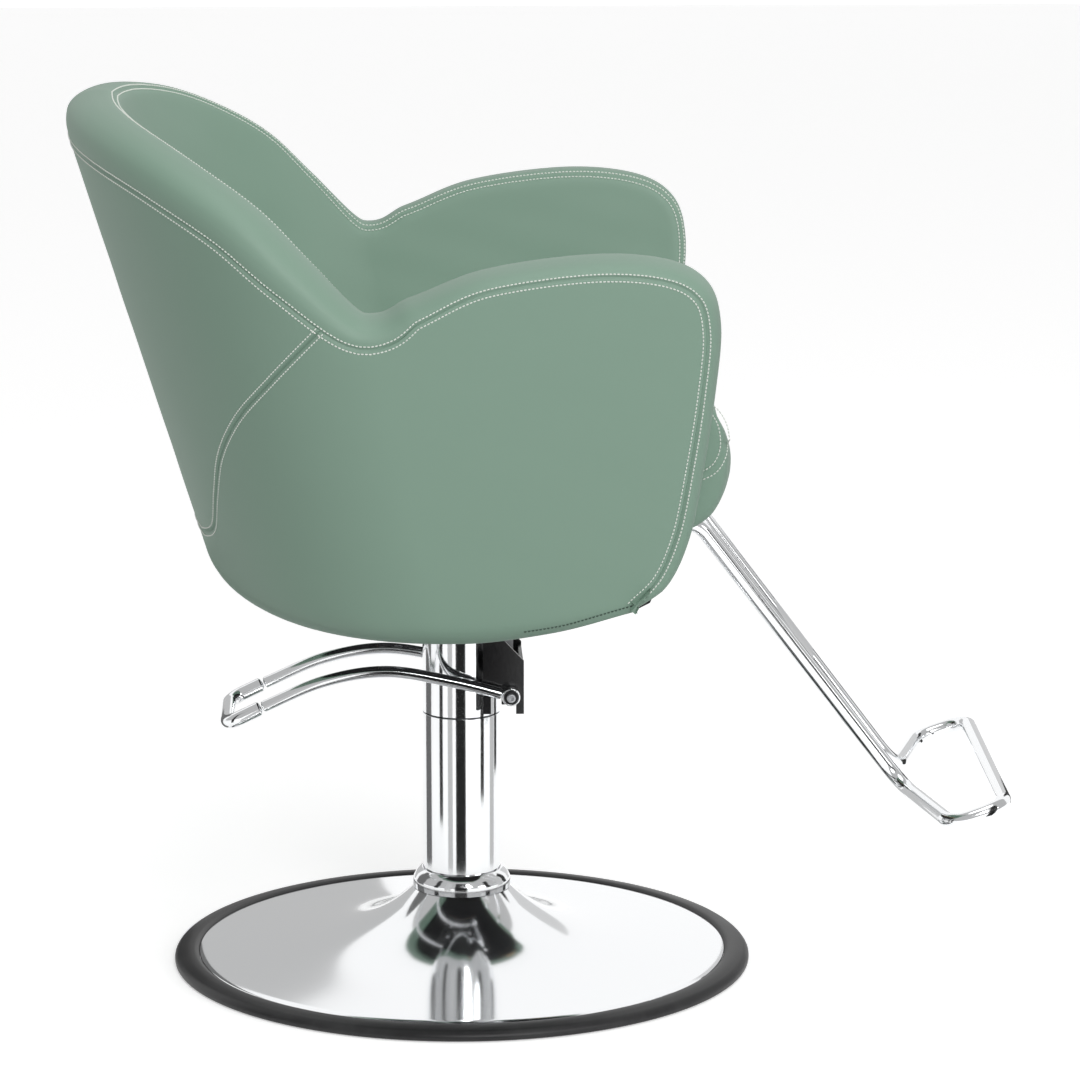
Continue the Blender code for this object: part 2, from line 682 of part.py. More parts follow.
def make_head(body):
    """Head casting: bearing tube on the ram, thrust step, rocker cavity and bolting flange."""
    step_z = RAM_TOP + GAP + WASHER_T + GAP
    bore = RAM_R + GAP
    tube = [(bore, HEAD_BOTTOM), (HEAD_R, HEAD_BOTTOM), (HEAD_R, FLANGE_Z + 0.5 * HEAD_FLANGE_T),
            (0.0, FLANGE_Z + 0.5 * HEAD_FLANGE_T), (0.0, HEAD_CAVITY_TOP), (bore, HEAD_CAVITY_TOP),
            (bore, step_z + HEAD_STEP_T), (HEAD_STEP_R, step_z + HEAD_STEP_T), (HEAD_STEP_R, step_z),
            (bore, step_z)]
    tube_tool = turned("head_tube", tube, "steel", None)
    half = HEAD_FLANGE_X
    casting = box("head_casting", (-half, half), (-HEAD_FLANGE_Y, HEAD_FLANGE_Y),
                  (FLANGE_Z, FLANGE_Z + HEAD_FLANGE_T), "black_paint", body)
    combine(casting, tube_tool, "UNION")
    slot = box("head_window", (0.0, 0.06), (-WINDOW_HALF, WINDOW_HALF), (HEAD_WINDOW_Z, WINDOW_TOP),
               "steel", None)
    combine(casting, slot, "DIFFERENCE")
    drill_bolts(casting, FLANGE_Z, PLATE_Z)
    sleeve = turned("upper_sleeve", ring_profile(COLUMN_R - SLEEVE_T, COLUMN_R, LOWER_SLEEVE_TOP + RUN,
                                                 FLANGE_Z - GAP, 0.0006), "chrome", body)
    window = box("sleeve_window", (0.03, 0.06), (-WINDOW_HALF, WINDOW_HALF), (SLEEVE_WINDOW_Z, WINDOW_TOP),
                 "steel", None)
    combine(sleeve, window, "DIFFERENCE")
    for i, (x, y) in enumerate(head_bolt_places()):
        head_top = FLANGE_Z - GAP
        profile = [(0.0, head_top - BOLT_HEAD_T), (BOLT_HEAD_R, head_top - BOLT_HEAD_T),
                   (BOLT_HEAD_R, head_top), (BOLT_R, head_top), (BOLT_R, BOARD_Z + BOARD_T - 0.002),
                   (0.0, BOARD_Z + BOARD_T - 0.002)]
        bolt = turned(f"head_bolt_{i + 1}", profile, "steel", body, segments=10)
        bolt.data.transform(Matrix.Translation((x, y, 0.0)))


def board_outline(margin, front):
    """Plan of a board that fits inside the moulded shell with a margin, its front corners rounded."""
    level = BOARD_Z - COVER_PANEL_T
    depth = PAD_OUT_T + SHELL_T + LAYER_GAP + margin
    straight = front - BOARD_CORNER - bend_x(level)
    stations = np.concatenate([np.linspace(0.0, 1.0, 9), np.linspace(1.0, 1.0 + straight, 4)[1:]])
    half = [(float(q[0]), float(q[1])) for q in wall_point(stations, level, depth)]
    width = half[-1][1]
    corner = BOARD_CORNER
    half += arc(front - corner, width - corner, corner, 90, 0, 5)[1:]
    return half + [(x, -y) for x, y in reversed(half[1:])]


def make_seat_frame(body):
    """Seat plate, plywood board, box of rails, deck and the underside panel."""
    plate = box("seat_plate", (-SEAT_PLATE_X, SEAT_PLATE_X), (-SEAT_PLATE_Y, SEAT_PLATE_Y),
                (PLATE_Z, PLATE_Z + SEAT_PLATE_T), "black_paint", body)
    drill_bolts(plate, PLATE_Z, BOARD_Z)
    board = prism("seat_board", board_outline(0.009, RAIL_FRONT_X), BOARD_Z, BOARD_Z + BOARD_T, "plywood",
                  body)
    drill_bolts(board, BOARD_Z, BOARD_Z + BOARD_T)
    panel = prism("bottom_cover", board_outline(0.0065, RAIL_FRONT_X), BOARD_Z - GAP - COVER_PANEL_T,
                  BOARD_Z - GAP, "cloth", body)
    hole = box("plate_opening", (-SEAT_PLATE_X - RUN, SEAT_PLATE_X + RUN),
               (-SEAT_PLATE_Y - RUN, SEAT_PLATE_Y + RUN), (BOARD_Z - 0.02, BOARD_Z + 0.02), "steel", None)
    combine(panel, hole, "DIFFERENCE")
    rail = (RAIL_Z, RAIL_Z + RAIL_H)
    front = RAIL_FRONT_X - RAIL_T
    box("front_rail", (front, RAIL_FRONT_X), (-RAIL_SIDE_Y + RAIL_T, RAIL_SIDE_Y - RAIL_T), rail, "plywood",
        body)
    box("rear_rail", (RAIL_REAR_X, RAIL_REAR_X + RAIL_T), (-RAIL_SIDE_Y + RAIL_T, RAIL_SIDE_Y - RAIL_T),
        rail, "plywood", body)
    for name, side in (("left", 1), ("right", -1)):
        ends = sorted((side * (RAIL_SIDE_Y - RAIL_T + GAP), side * RAIL_SIDE_Y))
        box(f"side_rail_{name}", (RAIL_REAR_X, front + 0.5 * RAIL_T), ends, rail, "plywood", body)
    box("seat_deck", (RAIL_REAR_X, RAIL_FRONT_X), (-RAIL_SIDE_Y, RAIL_SIDE_Y),
        (DECK_Z, DECK_Z + DECK_T - GAP), "plywood", body)


# ================================================================================================
# Lever and its bracket
# ================================================================================================

def make_bracket(body):
    """Black bracket: two cheeks beside the column, joined by a web ahead of the axle."""
    top = FLANGE_Z - GAP
    foot = CHEEK_BOTTOM
    neck = CHEEK_BACK + CHEEK_NECK
    arch = LEVER_Z + 0.003
    hub_back = LEVER_X - HUB_R
    outline = [(CHEEK_BACK, foot), (CHEEK_BACK + CHEEK_LEG, foot), (CHEEK_BACK + CHEEK_LEG, arch),
               (hub_back, arch), (hub_back, LEVER_Z - HUB_R - 0.001),
               (CHEEK_FRONT - CHEEK_LEG, LEVER_Z - HUB_R - 0.001), (CHEEK_FRONT - CHEEK_LEG, foot),
               (CHEEK_FRONT, foot), (CHEEK_FRONT, CHEEK_SHOULDER_Z), (neck, CHEEK_NECK_Z), (neck, top),
               (CHEEK_BACK, top)]
    bracket = prism("lever_bracket", outline, CHEEK_Y, CHEEK_Y + CHEEK_T, "black_paint", body, "XZ")
    other = prism("far_cheek", outline, -CHEEK_Y - CHEEK_T, -CHEEK_Y, "black_paint", None, "XZ")
    web_inset = 0.0004
    reach = CHEEK_Y + 0.5 * CHEEK_T
    web = box("bracket_web", (CHEEK_FRONT - WEB_T, CHEEK_FRONT - web_inset), (-reach, reach),
              (LEVER_Z + HUB_R + 0.001, WEB_TOP), "black_paint", None)
    combine(bracket, web, "UNION")
    combine(bracket, other, "UNION")
    hole = round_cutter("axle_hole", (LEVER_X, -0.07, LEVER_Z), (LEVER_X, 0.07, LEVER_Z), AXLE_R + GAP)
    combine(bracket, hole, "DIFFERENCE")


def lever_rod_path(side):
    """Centre line of a rod, from its hub back over the peak to the grip."""
    line = [(LEVER_X, LEVER_Z), LEVER_FRONT, LEVER_PEAK, LEVER_REAR, LEVER_GRIP_START]
    return smooth_path([(x, side * LEVER_Y, z) for x, z in line], 3)


def make_lever(body):
    for name, side in (("left", 1), ("right", -1)):
        rod = sweep(f"lever_rod_{name}", lever_rod_path(side), LEVER_ROD_R, "chrome", body)
        hub_in = side * (LEVER_Y - 0.5 * HUB_T)
        hub_out = side * (LEVER_Y + 0.5 * HUB_T)
        hub = round_cutter(f"hub_{name}", (LEVER_X, hub_in, LEVER_Z), (LEVER_X, hub_out, LEVER_Z), HUB_R, 24)
        combine(rod, hub, "UNION")
        hole = round_cutter(f"hub_hole_{name}", (LEVER_X, 0.5 * hub_in, LEVER_Z),
                            (LEVER_X, 1.5 * hub_out, LEVER_Z), AXLE_R + GAP)
        combine(rod, hole, "DIFFERENCE")
        washer_in = hub_out + side * GAP
        washer_out = washer_in + side * HUB_WASHER_T
        sweep(f"hub_washer_{name}", [(LEVER_X, washer_in, LEVER_Z), (LEVER_X, washer_out, LEVER_Z)],
              HUB_WASHER_R, "rubber", body, sides=20)
        bolt_in = washer_out + side * GAP
        bolt_out = bolt_in + side * HUB_BOLT_T
        sweep(f"hub_bolt_{name}", [(LEVER_X, bolt_in, LEVER_Z), (LEVER_X, bolt_out, LEVER_Z)], HUB_BOLT_R,
              "steel", body, sides=16)
    reach = LEVER_Y + 0.5 * HUB_T
    sweep("lever_axle", [(LEVER_X, -reach, LEVER_Z), (LEVER_X, reach, LEVER_Z)], AXLE_R, "steel", body,
          sides=16)
    make_handle(body)
    make_rocker(body)


def make_handle(body):
    """Grip: a thicker bar that joins the two rods' ends, with rounded corners."""
    start = np.array(LEVER_GRIP_START)
    end = np.array(LEVER_END)
    start = start + (end - start) / np.linalg.norm(end - start) * 2 * GAP
    corners = [(start[0], LEVER_Y, start[1]), (end[0], LEVER_Y, end[1]), (end[0], -LEVER_Y, end[1]),
               (start[0], -LEVER_Y, start[1])]
    path = rounded_path(corners, [LEVER_CORNER_R, LEVER_CORNER_R])
    sweep("lever_handle", path, LEVER_GRIP_R, "chrome", body)


def make_rocker(body):
    """Hooked rocker on the axle that reaches through the column's window to the plunger."""
    arm_in = LEVER_X - 0.0075
    arm_out = LEVER_X + 0.0035
    under = ROCKER_TOP - ROCKER_ARM
    nose_z = PLUNGER_TOP + GAP + ROCKER_NOSE_R
    left = math.degrees(math.acos((arm_in - LEVER_X) / ROCKER_HUB_R))
    right = math.degrees(math.acos((arm_out - LEVER_X) / ROCKER_HUB_R))
    outline = [(arm_out, ROCKER_TOP), (ROCKER_NOSE_X - ROCKER_NOSE_R, ROCKER_TOP)]
    outline += arc(ROCKER_NOSE_X, nose_z, ROCKER_NOSE_R, 180, 350, 6)
    outline += [(ROCKER_NOSE_X + ROCKER_NOSE_R + 0.002, under + 0.003), (arm_in, under + 0.003)]
    outline += arc(LEVER_X, LEVER_Z, ROCKER_HUB_R, left, 360 + right, 12)
    rocker = prism("pump_rocker", outline, -ROCKER_HALF, ROCKER_HALF, "steel", body, "XZ")
    hole = round_cutter("rocker_hole", (LEVER_X, -0.02, LEVER_Z), (LEVER_X, 0.02, LEVER_Z), AXLE_R + GAP)
    combine(rocker, hole, "DIFFERENCE")


def make_axle_fittings(body):
    """Bush on one side of the rocker and the torsion spring on the other."""
    start = ROCKER_HALF + GAP + 0.0005
    end = CHEEK_Y - GAP
    bush = sweep("axle_bush", [(LEVER_X, start, LEVER_Z), (LEVER_X, end, LEVER_Z)], BUSH_R, "chrome", body,
                 sides=20)
    hole = round_cutter("bush_hole", (LEVER_X, 0.0, LEVER_Z), (LEVER_X, 0.06, LEVER_Z), AXLE_R + GAP)
    combine(bush, hole, "DIFFERENCE")
    low = -CHEEK_Y + GAP + RETURN_SPRING_WIRE
    length = CHEEK_Y - start - 2 * (GAP + RETURN_SPRING_WIRE)
    coil = helix((LEVER_X, low, LEVER_Z), "Y", RETURN_SPRING_R, length, 6, 8)
    sweep("return_spring", coil, RETURN_SPRING_WIRE, "steel", body, sides=4)


# ================================================================================================
# Footrest
# ================================================================================================

def make_footrest(body):
    """One bent tube: two legs from the front rail, splayed into a wide loop with a cross bar."""
    end_x = RAIL_FRONT_X + GAP + BRACKET_T + GAP
    right = [(end_x, LEG_Y, LEG_TOP[1]), (LEG_TOP[0], LEG_Y, LEG_TOP[1]), (LEG_LOW[0], LEG_Y_LOW, LEG_LOW[1]),
             LOOP_OUTER, BAR_CORNER]
    corners = right + [(x, -y, z) for x, y, z in reversed(right)]
    radii = [TOP_BEND_R, LOW_BEND_R, LOOP_BEND_R, LOOP_BEND_R]
    path = rounded_path(corners, radii + radii[::-1], steps=4)
    sweep("footrest_tube", path, TUBE_R, "chrome", body)
    plate_x = RAIL_FRONT_X + GAP
    mid = LEG_TOP[1]
    box("footrest_bracket", (plate_x, plate_x + BRACKET_T), (-BRACKET_HALF_Y, BRACKET_HALF_Y),
        (mid - BRACKET_HALF_Z, mid + BRACKET_HALF_Z), "steel", body)
    head_x = plate_x + BRACKET_T + GAP
    places = [s * y for s in (1, -1) for y in (LEG_Y - 0.024, LEG_Y + 0.024)]
    for i, y in enumerate(places):
        head = arc(y, mid, BOLT_HEAD_R, 0, 300, 5)
        prism(f"footrest_bolt_{i + 1}", head, head_x, head_x + 0.5 * BOLT_HEAD_T, "steel", body, "YZ")
    apron_x = head_x + 0.5 * BOLT_HEAD_T + RUN
    y = np.linspace(-APRON_HALF_Y, APRON_HALF_Y, 21)
    swept = np.clip((np.abs(y) - APRON_FLAT_Y) / (APRON_HALF_Y - APRON_FLAT_Y), 0.0, 1.0) ** 2
    back = apron_x - APRON_SWEEP * swept
    outline = list(zip(back + APRON_T, y)) + list(zip(back, y))[::-1]
    apron = prism("front_apron", outline, APRON_BOTTOM, APRON_TOP, "leather", body)
    for name, side in (("left", 1), ("right", -1)):
        hole = round_cutter(f"apron_hole_{name}", (apron_x - 0.01, side * LEG_Y, mid),
                            (apron_x + APRON_T + 0.01, side * LEG_Y, mid), TUBE_R + RUN)
        combine(apron, hole, "DIFFERENCE")


# ================================================================================================
# Upholstery
# ================================================================================================

def make_rim_band(rim, body):
    """Band over the top of the wall and down the arms' fronts, round outside and tight inside."""
    depth = band_depth(rim)
    section = [(1.00, 0.0), (0.66, 0.03), (0.36, 0.14), (0.14, 0.32), (0.02, 0.56), (0.00, 0.82),
               (0.10, 0.97), (1.00, 1.0)]
    loops = []
    for share, across in section:
        edge = inset_rim(rim, depth * share)
        loops.append(wall_point(edge[:, 0], edge[:, 1], across * WALL_T))
    band = np.stack(loops)
    band = np.concatenate([band[:, :0:-1] * (1.0, -1.0, 1.0), band], axis=1)
    count, stations = band.shape[:2]
    faces = []
    for i in range(stations - 1):
        for j in range(count):
            k = (j + 1) % count
            faces.append([j * stations + i, j * stations + i + 1, k * stations + i + 1, k * stations + i])
    faces.append([j * stations for j in range(count)])
    faces.append([j * stations + stations - 1 for j in range(count)])
    add_mesh("rim_band", band.reshape(-1, 3), faces, "leather", body)


def make_wall(rim, body):
    """Outer pads, moulded shell and inner pads under the rim band."""
    top = inset_rim(rim, band_depth(rim) + BAND_GAP)
    foot = foot_curve(rim)
    last = len(rim) - FRONT_ROWS
    seam = np.vstack([[0.0, PANEL_SEAM_Z], seam_curve()])
    seam_z = np.interp(top[:, 0], seam[:, 0], seam[:, 1])
    side_top = top.copy()
    side_top[:DIP, 1] = np.minimum(top[:DIP, 1], seam_z[:DIP])
    side_foot = foot.copy()
    side_top[0, 0] = BACK_SPLIT
    side_foot[0, 0] = BACK_SPLIT
    outer = (0.0, PAD_OUT_T)
    for name, side in (("left", 1), ("right", -1)):
        wall_solid(f"outer_side_pad_{name}", side_top[:last], side_foot[:last], outer, 2, side, "leather",
                   body, curled=True)
    use = int(np.argmax(top[:DIP + 1, 1] - seam_z[:DIP + 1] < PANEL_TIP))
    back_foot = top[:use].copy()
    back_foot[:, 1] = seam_z[:use] + LAYER_GAP
    wall_solid("outer_back_pad", top[:use], back_foot, outer, 3, 0, "leather", body)
    shell = (PAD_OUT_T + LAYER_GAP, PAD_OUT_T + LAYER_GAP + SHELL_T)
    wall_solid("tub_shell", top[:last], foot[:last], shell, 2, 0, "plywood", body, curled=True)
    inner = (shell[1] + LAYER_GAP, WALL_T)
    split = DIP - 3
    level = DECK_Z + DECK_T
    drop = np.clip((level - foot[:, 1]) / np.maximum(top[:, 1] - foot[:, 1], 1e-6), 0.0, 0.95)
    inner_foot = foot + (top - foot) * drop[:, None]
    wall_solid("inner_back_pad", top[:split], inner_foot[:split], inner, 3, 0, "leather", body)
    side_part = slice(split - 1, last - 2)
    part_top = top[side_part].copy()
    part_foot = inner_foot[side_part].copy()
    part_top[0, 0] += PAD_SPLIT
    part_foot[0, 0] += PAD_SPLIT
    for name, side in (("left", 1), ("right", -1)):
        wall_solid(f"inner_side_pad_{name}", part_top, part_foot, inner, 3, side, "leather", body)


def make_cushion(body):
    """Seat cushion: a side outline carried across the seat, drawn in where the tub turns."""
    outline = smooth_path(CUSHION_SIDE[2:-1], 2)
    outline = np.vstack([CUSHION_SIDE[:2], outline, CUSHION_SIDE[-1:]])
    stations = np.array([-1.0, -0.93, -0.8, -0.55, -0.2, 0.2, 0.55, 0.8, 0.93, 1.0])
    middle = (outline.min(axis=0) + outline.max(axis=0)) / 2.0
    rings = []
    for s in stations:
        edge = max(0.0, (abs(s) - 0.8) / 0.2)
        shrink = 0.012 * edge ** 2
        x = outline[:, 0] + (middle[0] - outline[:, 0]) * shrink
        z = outline[:, 1] + (middle[1] - outline[:, 1]) * 2 * shrink * (outline[:, 1] > 0.53)
        dish = (1.0 - s * s) * np.clip((z - 0.555) / 0.045, 0.0, 1.0)
        z = z - SEAT_DISH * dish
        nose = np.clip((x - 0.212) / (NOSE_X - 0.212), 0.0, 1.0)
        x = x - NOSE_SWEEP * abs(s) ** 3 * nose - 0.5 * SEAT_DISH * dish * np.clip((x - 0.1) / 0.15, 0.0, 1.0)
        reach = cushion_back(abs(s)) / CUSHION_BACK_X
        x = np.where(x < 0.0, x * reach, x)
        taper = ARM_TAPER * (np.maximum(x - bend_x(z), 0.0) / (NOSE_X - BEND_X)) ** 2
        half = side_y(z) - WALL_T - CUSHION_GAP - taper
        rings.append(np.stack([x, s * half, z], axis=-1))
    rings = np.array(rings)
    count = rings.shape[1]
    faces = [list(range(count)), list(range((len(rings) - 1) * count, len(rings) * count))]
    for i in range(len(rings) - 1):
        for j in range(count):
            k = (j + 1) % count
            faces.append([i * count + j, i * count + k, (i + 1) * count + k, (i + 1) * count + j])
    add_mesh("seat_cushion", rings.reshape(-1, 3), faces, "leather", body)


def cushion_back(share):
    """Rearmost x of the cushion at a share of its half width, clear of the inner pads."""
    level = CUSHION_FLOOR
    long_axis = bend_x(level) - back_x(level) - WALL_T - CUSHION_GAP
    return max(bend_x(level) - long_axis * math.sqrt(1.0 - min(share, 0.98) ** 2), CUSHION_BACK_X)


def main():
    for obj in list(bpy.data.objects):
        bpy.data.objects.remove(obj)
    lift = add_body("lift_axis", 0.0, 0.0)
    swivel = add_body("swivel_axis", 0.0, 0.0)
    plunger = add_body("plunger_axis", 0.0, 0.0)
    pivot = add_body("lever_axis", LEVER_X, LEVER_Z)
    make_base()
    make_cylinder()
    make_ram(lift)
    make_plunger(plunger, lift)
    make_head(swivel)
    make_seat_frame(swivel)
    make_bracket(swivel)
    make_axle_fittings(swivel)
    make_lever(pivot)
    make_footrest(swivel)
    rim = rim_curve()
    make_rim_band(rim, swivel)
    make_wall(rim, swivel)
    make_cushion(swivel)


main()
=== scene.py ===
"""Salon styling chair: leather, thread, chrome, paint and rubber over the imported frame.

The tub's wall is one surface that every leather piece is cut from, as in the frame: a quarter
ellipse round the back that runs on as a straight arm. Each panel is a grid on that surface,
sunk along its seams, and every row of thread is laid on the panel that it is sewn through.
"""
import math

import bmesh
import bpy
import numpy as np
from bpy.props import FloatProperty, FloatVectorProperty, IntProperty, PointerProperty
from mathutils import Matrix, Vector


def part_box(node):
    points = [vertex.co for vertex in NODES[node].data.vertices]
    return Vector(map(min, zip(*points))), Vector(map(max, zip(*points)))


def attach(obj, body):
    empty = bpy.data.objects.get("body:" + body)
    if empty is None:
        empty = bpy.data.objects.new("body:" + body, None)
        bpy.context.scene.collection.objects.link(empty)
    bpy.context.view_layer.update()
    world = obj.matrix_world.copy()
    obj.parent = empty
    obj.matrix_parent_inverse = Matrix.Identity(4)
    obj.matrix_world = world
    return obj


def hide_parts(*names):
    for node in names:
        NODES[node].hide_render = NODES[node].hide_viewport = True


bl_info = {
    "name": "Salon styling chair",
    "version": (1, 0, 0),
    "blender": (4, 5, 0),
    "location": "View3D > Sidebar > Chair",
    "description": "Builds the looks of a hydraulic salon styling chair over its frame",
    "category": "Object",
}

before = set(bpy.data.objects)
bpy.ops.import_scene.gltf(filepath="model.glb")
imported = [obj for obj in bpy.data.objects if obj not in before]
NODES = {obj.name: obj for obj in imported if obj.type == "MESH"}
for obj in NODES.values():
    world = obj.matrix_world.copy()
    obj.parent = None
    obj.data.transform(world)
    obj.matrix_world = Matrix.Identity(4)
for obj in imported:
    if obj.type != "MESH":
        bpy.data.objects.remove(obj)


# ================================================================================================
# Settings
# ================================================================================================

class LeatherSettings(bpy.types.PropertyGroup):
    colour: FloatVectorProperty(name="Leather", description="Colour of the leather", subtype="COLOR",
                                default=(0.182, 0.268, 0.214), min=0.0, max=1.0)
    grain: FloatProperty(name="Grain height", description="Height of the leather's grain",
                         default=0.00011, unit="LENGTH")
    seam_dip: FloatProperty(name="Seam dip", description="How far a seam sinks into the pad",
                            default=0.0016, unit="LENGTH")
    pucker: FloatProperty(name="Pucker", description="Height of the puckers beside a seam",
                          default=0.00022, unit="LENGTH")
    skin: FloatProperty(name="Pad skin", description="Thickness of the leather and its foam backing",
                        default=0.006, unit="LENGTH")


class ThreadSettings(bpy.types.PropertyGroup):
    colour: FloatVectorProperty(name="Thread", description="Colour of the top stitching", subtype="COLOR",
                                default=(0.86, 0.90, 0.84), min=0.0, max=1.0)
    edge_colour: FloatVectorProperty(name="Edge thread", description="Colour of the lower edge's stitching",
                                     subtype="COLOR", default=(0.05, 0.085, 0.065), min=0.0, max=1.0)
    pitch: FloatProperty(name="Stitch pitch", description="Distance from stitch to stitch",
                         default=0.0038, unit="LENGTH")
    length: FloatProperty(name="Stitch length", description="Thread that shows in one stitch",
                          default=0.0031, unit="LENGTH")
    radius: FloatProperty(name="Thread radius", description="Radius of the thread", default=0.00072,
                          unit="LENGTH")
    offset: FloatProperty(name="Row offset", description="Distance from a seam to each of its rows",
                          default=0.0042, unit="LENGTH")


class CushionSettings(bpy.types.PropertyGroup):
    voxel: FloatProperty(name="Remesh size", description="Mesh size for the cushion's simulation",
                         default=0.006, unit="LENGTH")
    pressure: FloatProperty(name="Pressure", description="Pressure of the filling", default=4.0)
    frames: IntProperty(name="Frames", description="Frames the filling is left to swell", default=20)
    swell: FloatProperty(name="Swell", description="Most that the top and nose may swell",
                         default=0.009, unit="LENGTH")


class MetalSettings(bpy.types.PropertyGroup):
    chrome: FloatVectorProperty(name="Chrome", description="Colour of the chrome", subtype="COLOR",
                                default=(0.80, 0.81, 0.825), min=0.0, max=1.0)
    chrome_roughness: FloatProperty(name="Chrome roughness", description="Roughness of the chrome",
                                    default=0.080, subtype="FACTOR", min=0.0, max=1.0)
    segments: IntProperty(name="Segments", description="Facets round a turned piece", default=128)


class StageSettings(bpy.types.PropertyGroup):
    floor: FloatVectorProperty(name="Floor", description="Colour of the floor", subtype="COLOR",
                               default=(0.90, 0.90, 0.90), min=0.0, max=1.0)
    key: FloatProperty(name="Key light", description="Strength of the large light beside the camera",
                       default=95.0)
    fill: FloatProperty(name="Fill light", description="Strength of the light from the far side",
                        default=22.0)
    top: FloatProperty(name="Top light", description="Strength of the light above", default=18.0)
    room: FloatProperty(name="Room light", description="Strength of the light from all round", default=0.50)


def settings(name):
    return getattr(bpy.context.scene, name)


# ================================================================================================
# Shader wiring
# ================================================================================================

class Wire:
    """A socket whose arithmetic adds Math nodes to its tree."""

    def __init__(self, finish, socket):
        self.finish = finish
        self.socket = socket

    def _maths(self, operation, first, second):
        return self.finish.node("ShaderNodeMath", {"operation": operation}, {0: first, 1: second})

    def __add__(self, other):
        return self._maths("ADD", self, other)

    def __radd__(self, other):
        return self._maths("ADD", other, self)

    def __sub__(self, other):
        return self._maths("SUBTRACT", self, other)

    def __rsub__(self, other):
        return self._maths("SUBTRACT", other, self)

    def __mul__(self, other):
        return self._maths("MULTIPLY", self, other)

    def __rmul__(self, other):
        return self._maths("MULTIPLY", other, self)

    def __truediv__(self, other):
        return self._maths("DIVIDE", self, other)

    def __pow__(self, other):
        return self._maths("POWER", self, other)


class Finish:
    """One material: makes its nodes and wires them to its Principled shader."""

    def __init__(self, name, **constants):
        self.material = bpy.data.materials.new(name)
        self.material.use_nodes = True
        self.tree = self.material.node_tree
        self.shader = self.tree.nodes["Principled BSDF"]
        for socket, value in constants.items():
            self.shader.inputs[socket.replace("_", " ")].default_value = value

    def node(self, kind, options=None, sockets=None, output=0):
        """Any node: its options are set first, then its sockets to values or links."""
        node = self.tree.nodes.new(kind)
        for key, value in (options or {}).items():
            if key == "stops":
                for stop, (place, colour) in zip(node.color_ramp.elements, value):
                    stop.position = place
                    stop.color = colour
            else:
                setattr(node, key, value)
        for key, value in (sockets or {}).items():
            if isinstance(value, Wire):
                self.tree.links.new(value.socket, node.inputs[key])
            else:
                node.inputs[key].default_value = value
        return Wire(self, node.outputs[output])

    def place(self, scale=(1.0, 1.0, 1.0), turn=(0.0, 0.0, 0.0)):
        """Object coordinates, scaled and turned."""
        here = self.node("ShaderNodeTexCoord", output="Object")
        return self.node("ShaderNodeMapping", {}, {"Vector": here, "Scale": scale, "Rotation": turn})

    def noise(self, scale, detail=2.0, roughness=0.5, vector=None, distortion=0.0):
        return self.node("ShaderNodeTexNoise", {}, {
            "Vector": vector or self.place(), "Scale": scale, "Detail": detail, "Roughness": roughness,
            "Distortion": distortion})

    def blend(self, factor, first, second, how="MIX"):
        """Colour mix. Colours are three numbers or wires."""
        ends = [c if isinstance(c, Wire) else (*c, 1.0) for c in (first, second)]
        return self.node("ShaderNodeMix", {"data_type": "RGBA", "blend_type": how},
                         {0: factor, 6: ends[0], 7: ends[1]}, output=2)

    def span(self, value, low, high, to_low, to_high):
        """Value carried smoothly from one range to another, and held at its ends."""
        return self.node("ShaderNodeMapRange", {"interpolation_type": "SMOOTHSTEP"},
                         {0: value, 1: low, 2: high, 3: to_low, 4: to_high})

    def attribute(self, name):
        return self.node("ShaderNodeAttribute", {"attribute_name": name}, output="Fac")

    def feed(self, **wires):
        for socket, wire in wires.items():
            self.tree.links.new(wire.socket, self.shader.inputs[socket.replace("_", " ")])

    def bump(self, height, distance, strength=1.0):
        self.feed(Normal=self.node("ShaderNodeBump", {}, {"Height": height, "Distance": distance,
                                                          "Strength": strength}))


def leather_finish():
    """Matt leather: fine pebbles cut by creases, a slow drift of tone, painted shade darkening it along its
    seams and a painted highlight on the ridge beside them.
    """
    made = bpy.data.materials.get("leather")
    if made:
        return made
    look = settings("chair_leather")
    base = np.array(look.colour)
    f = Finish("leather", Specular_IOR_Level=0.42)
    cells = f.node("ShaderNodeTexVoronoi", {"feature": "DISTANCE_TO_EDGE"},
                   {"Vector": f.place(), "Scale": 620.0, "Randomness": 1.0}, output="Distance")
    pebble = f.span(cells, 0.02, 0.30, 0.0, 1.0)
    creases = f.noise(210.0, 3.0, 0.6, distortion=0.4)
    drift = f.noise(7.0, 3.0, 0.55)
    cloud = f.noise(38.0, 4.0, 0.6)
    # Painted shade: the leather is darkened within about 2.6 mm of a seam, where the valley's shadow falls.
    seam = f.span(f.attribute("seam"), 0.0006, 0.0026, 1.0, 0.0)
    # Painted highlight: the leather is lightened along the raised ridge a few millimetres beside each seam.
    seam_ridge_highlight = f.span(f.attribute("seam"), 0.0020, 0.0110, 1.0, 0.0)
    tone = f.blend(f.span(drift, 0.35, 0.65, 0.0, 1.0), base * 0.955, base * 1.045)
    tone = f.blend(f.span(cloud, 0.30, 0.70, 0.0, 0.35), tone, base * (0.94, 0.97, 0.97))
    tone = f.blend((1 - pebble) * 0.22, tone, base * 0.62)
    tone = f.blend(seam_ridge_highlight * 0.10, tone, base * 1.28)
    tone = f.blend(seam * 0.82, tone, base * 0.16)
    f.feed(Base_Color=tone, Roughness=0.50 + 0.10 * cloud + 0.06 * (1 - pebble))
    f.bump(pebble * 0.75 + creases * 0.55, look.grain * 2.0)
    return f.material


def thread_finish(name, colour):
    """Twisted thread: fine slanting ribs and a little colour drift."""
    f = Finish(name, Roughness=0.62, Specular_IOR_Level=0.35)
    ribs = f.node("ShaderNodeTexWave", {"wave_type": "BANDS", "bands_direction": "DIAGONAL"},
                  {"Vector": f.place(), "Scale": 900.0, "Distortion": 1.0})
    drift = f.noise(60.0, 2.0)
    colour = np.array(colour)
    tone = f.blend(ribs * 0.35, colour, colour * 0.70)
    f.feed(Base_Color=f.blend(drift * 0.30, tone, colour * 0.85))
    f.bump(ribs, 0.00008)
    return f.material


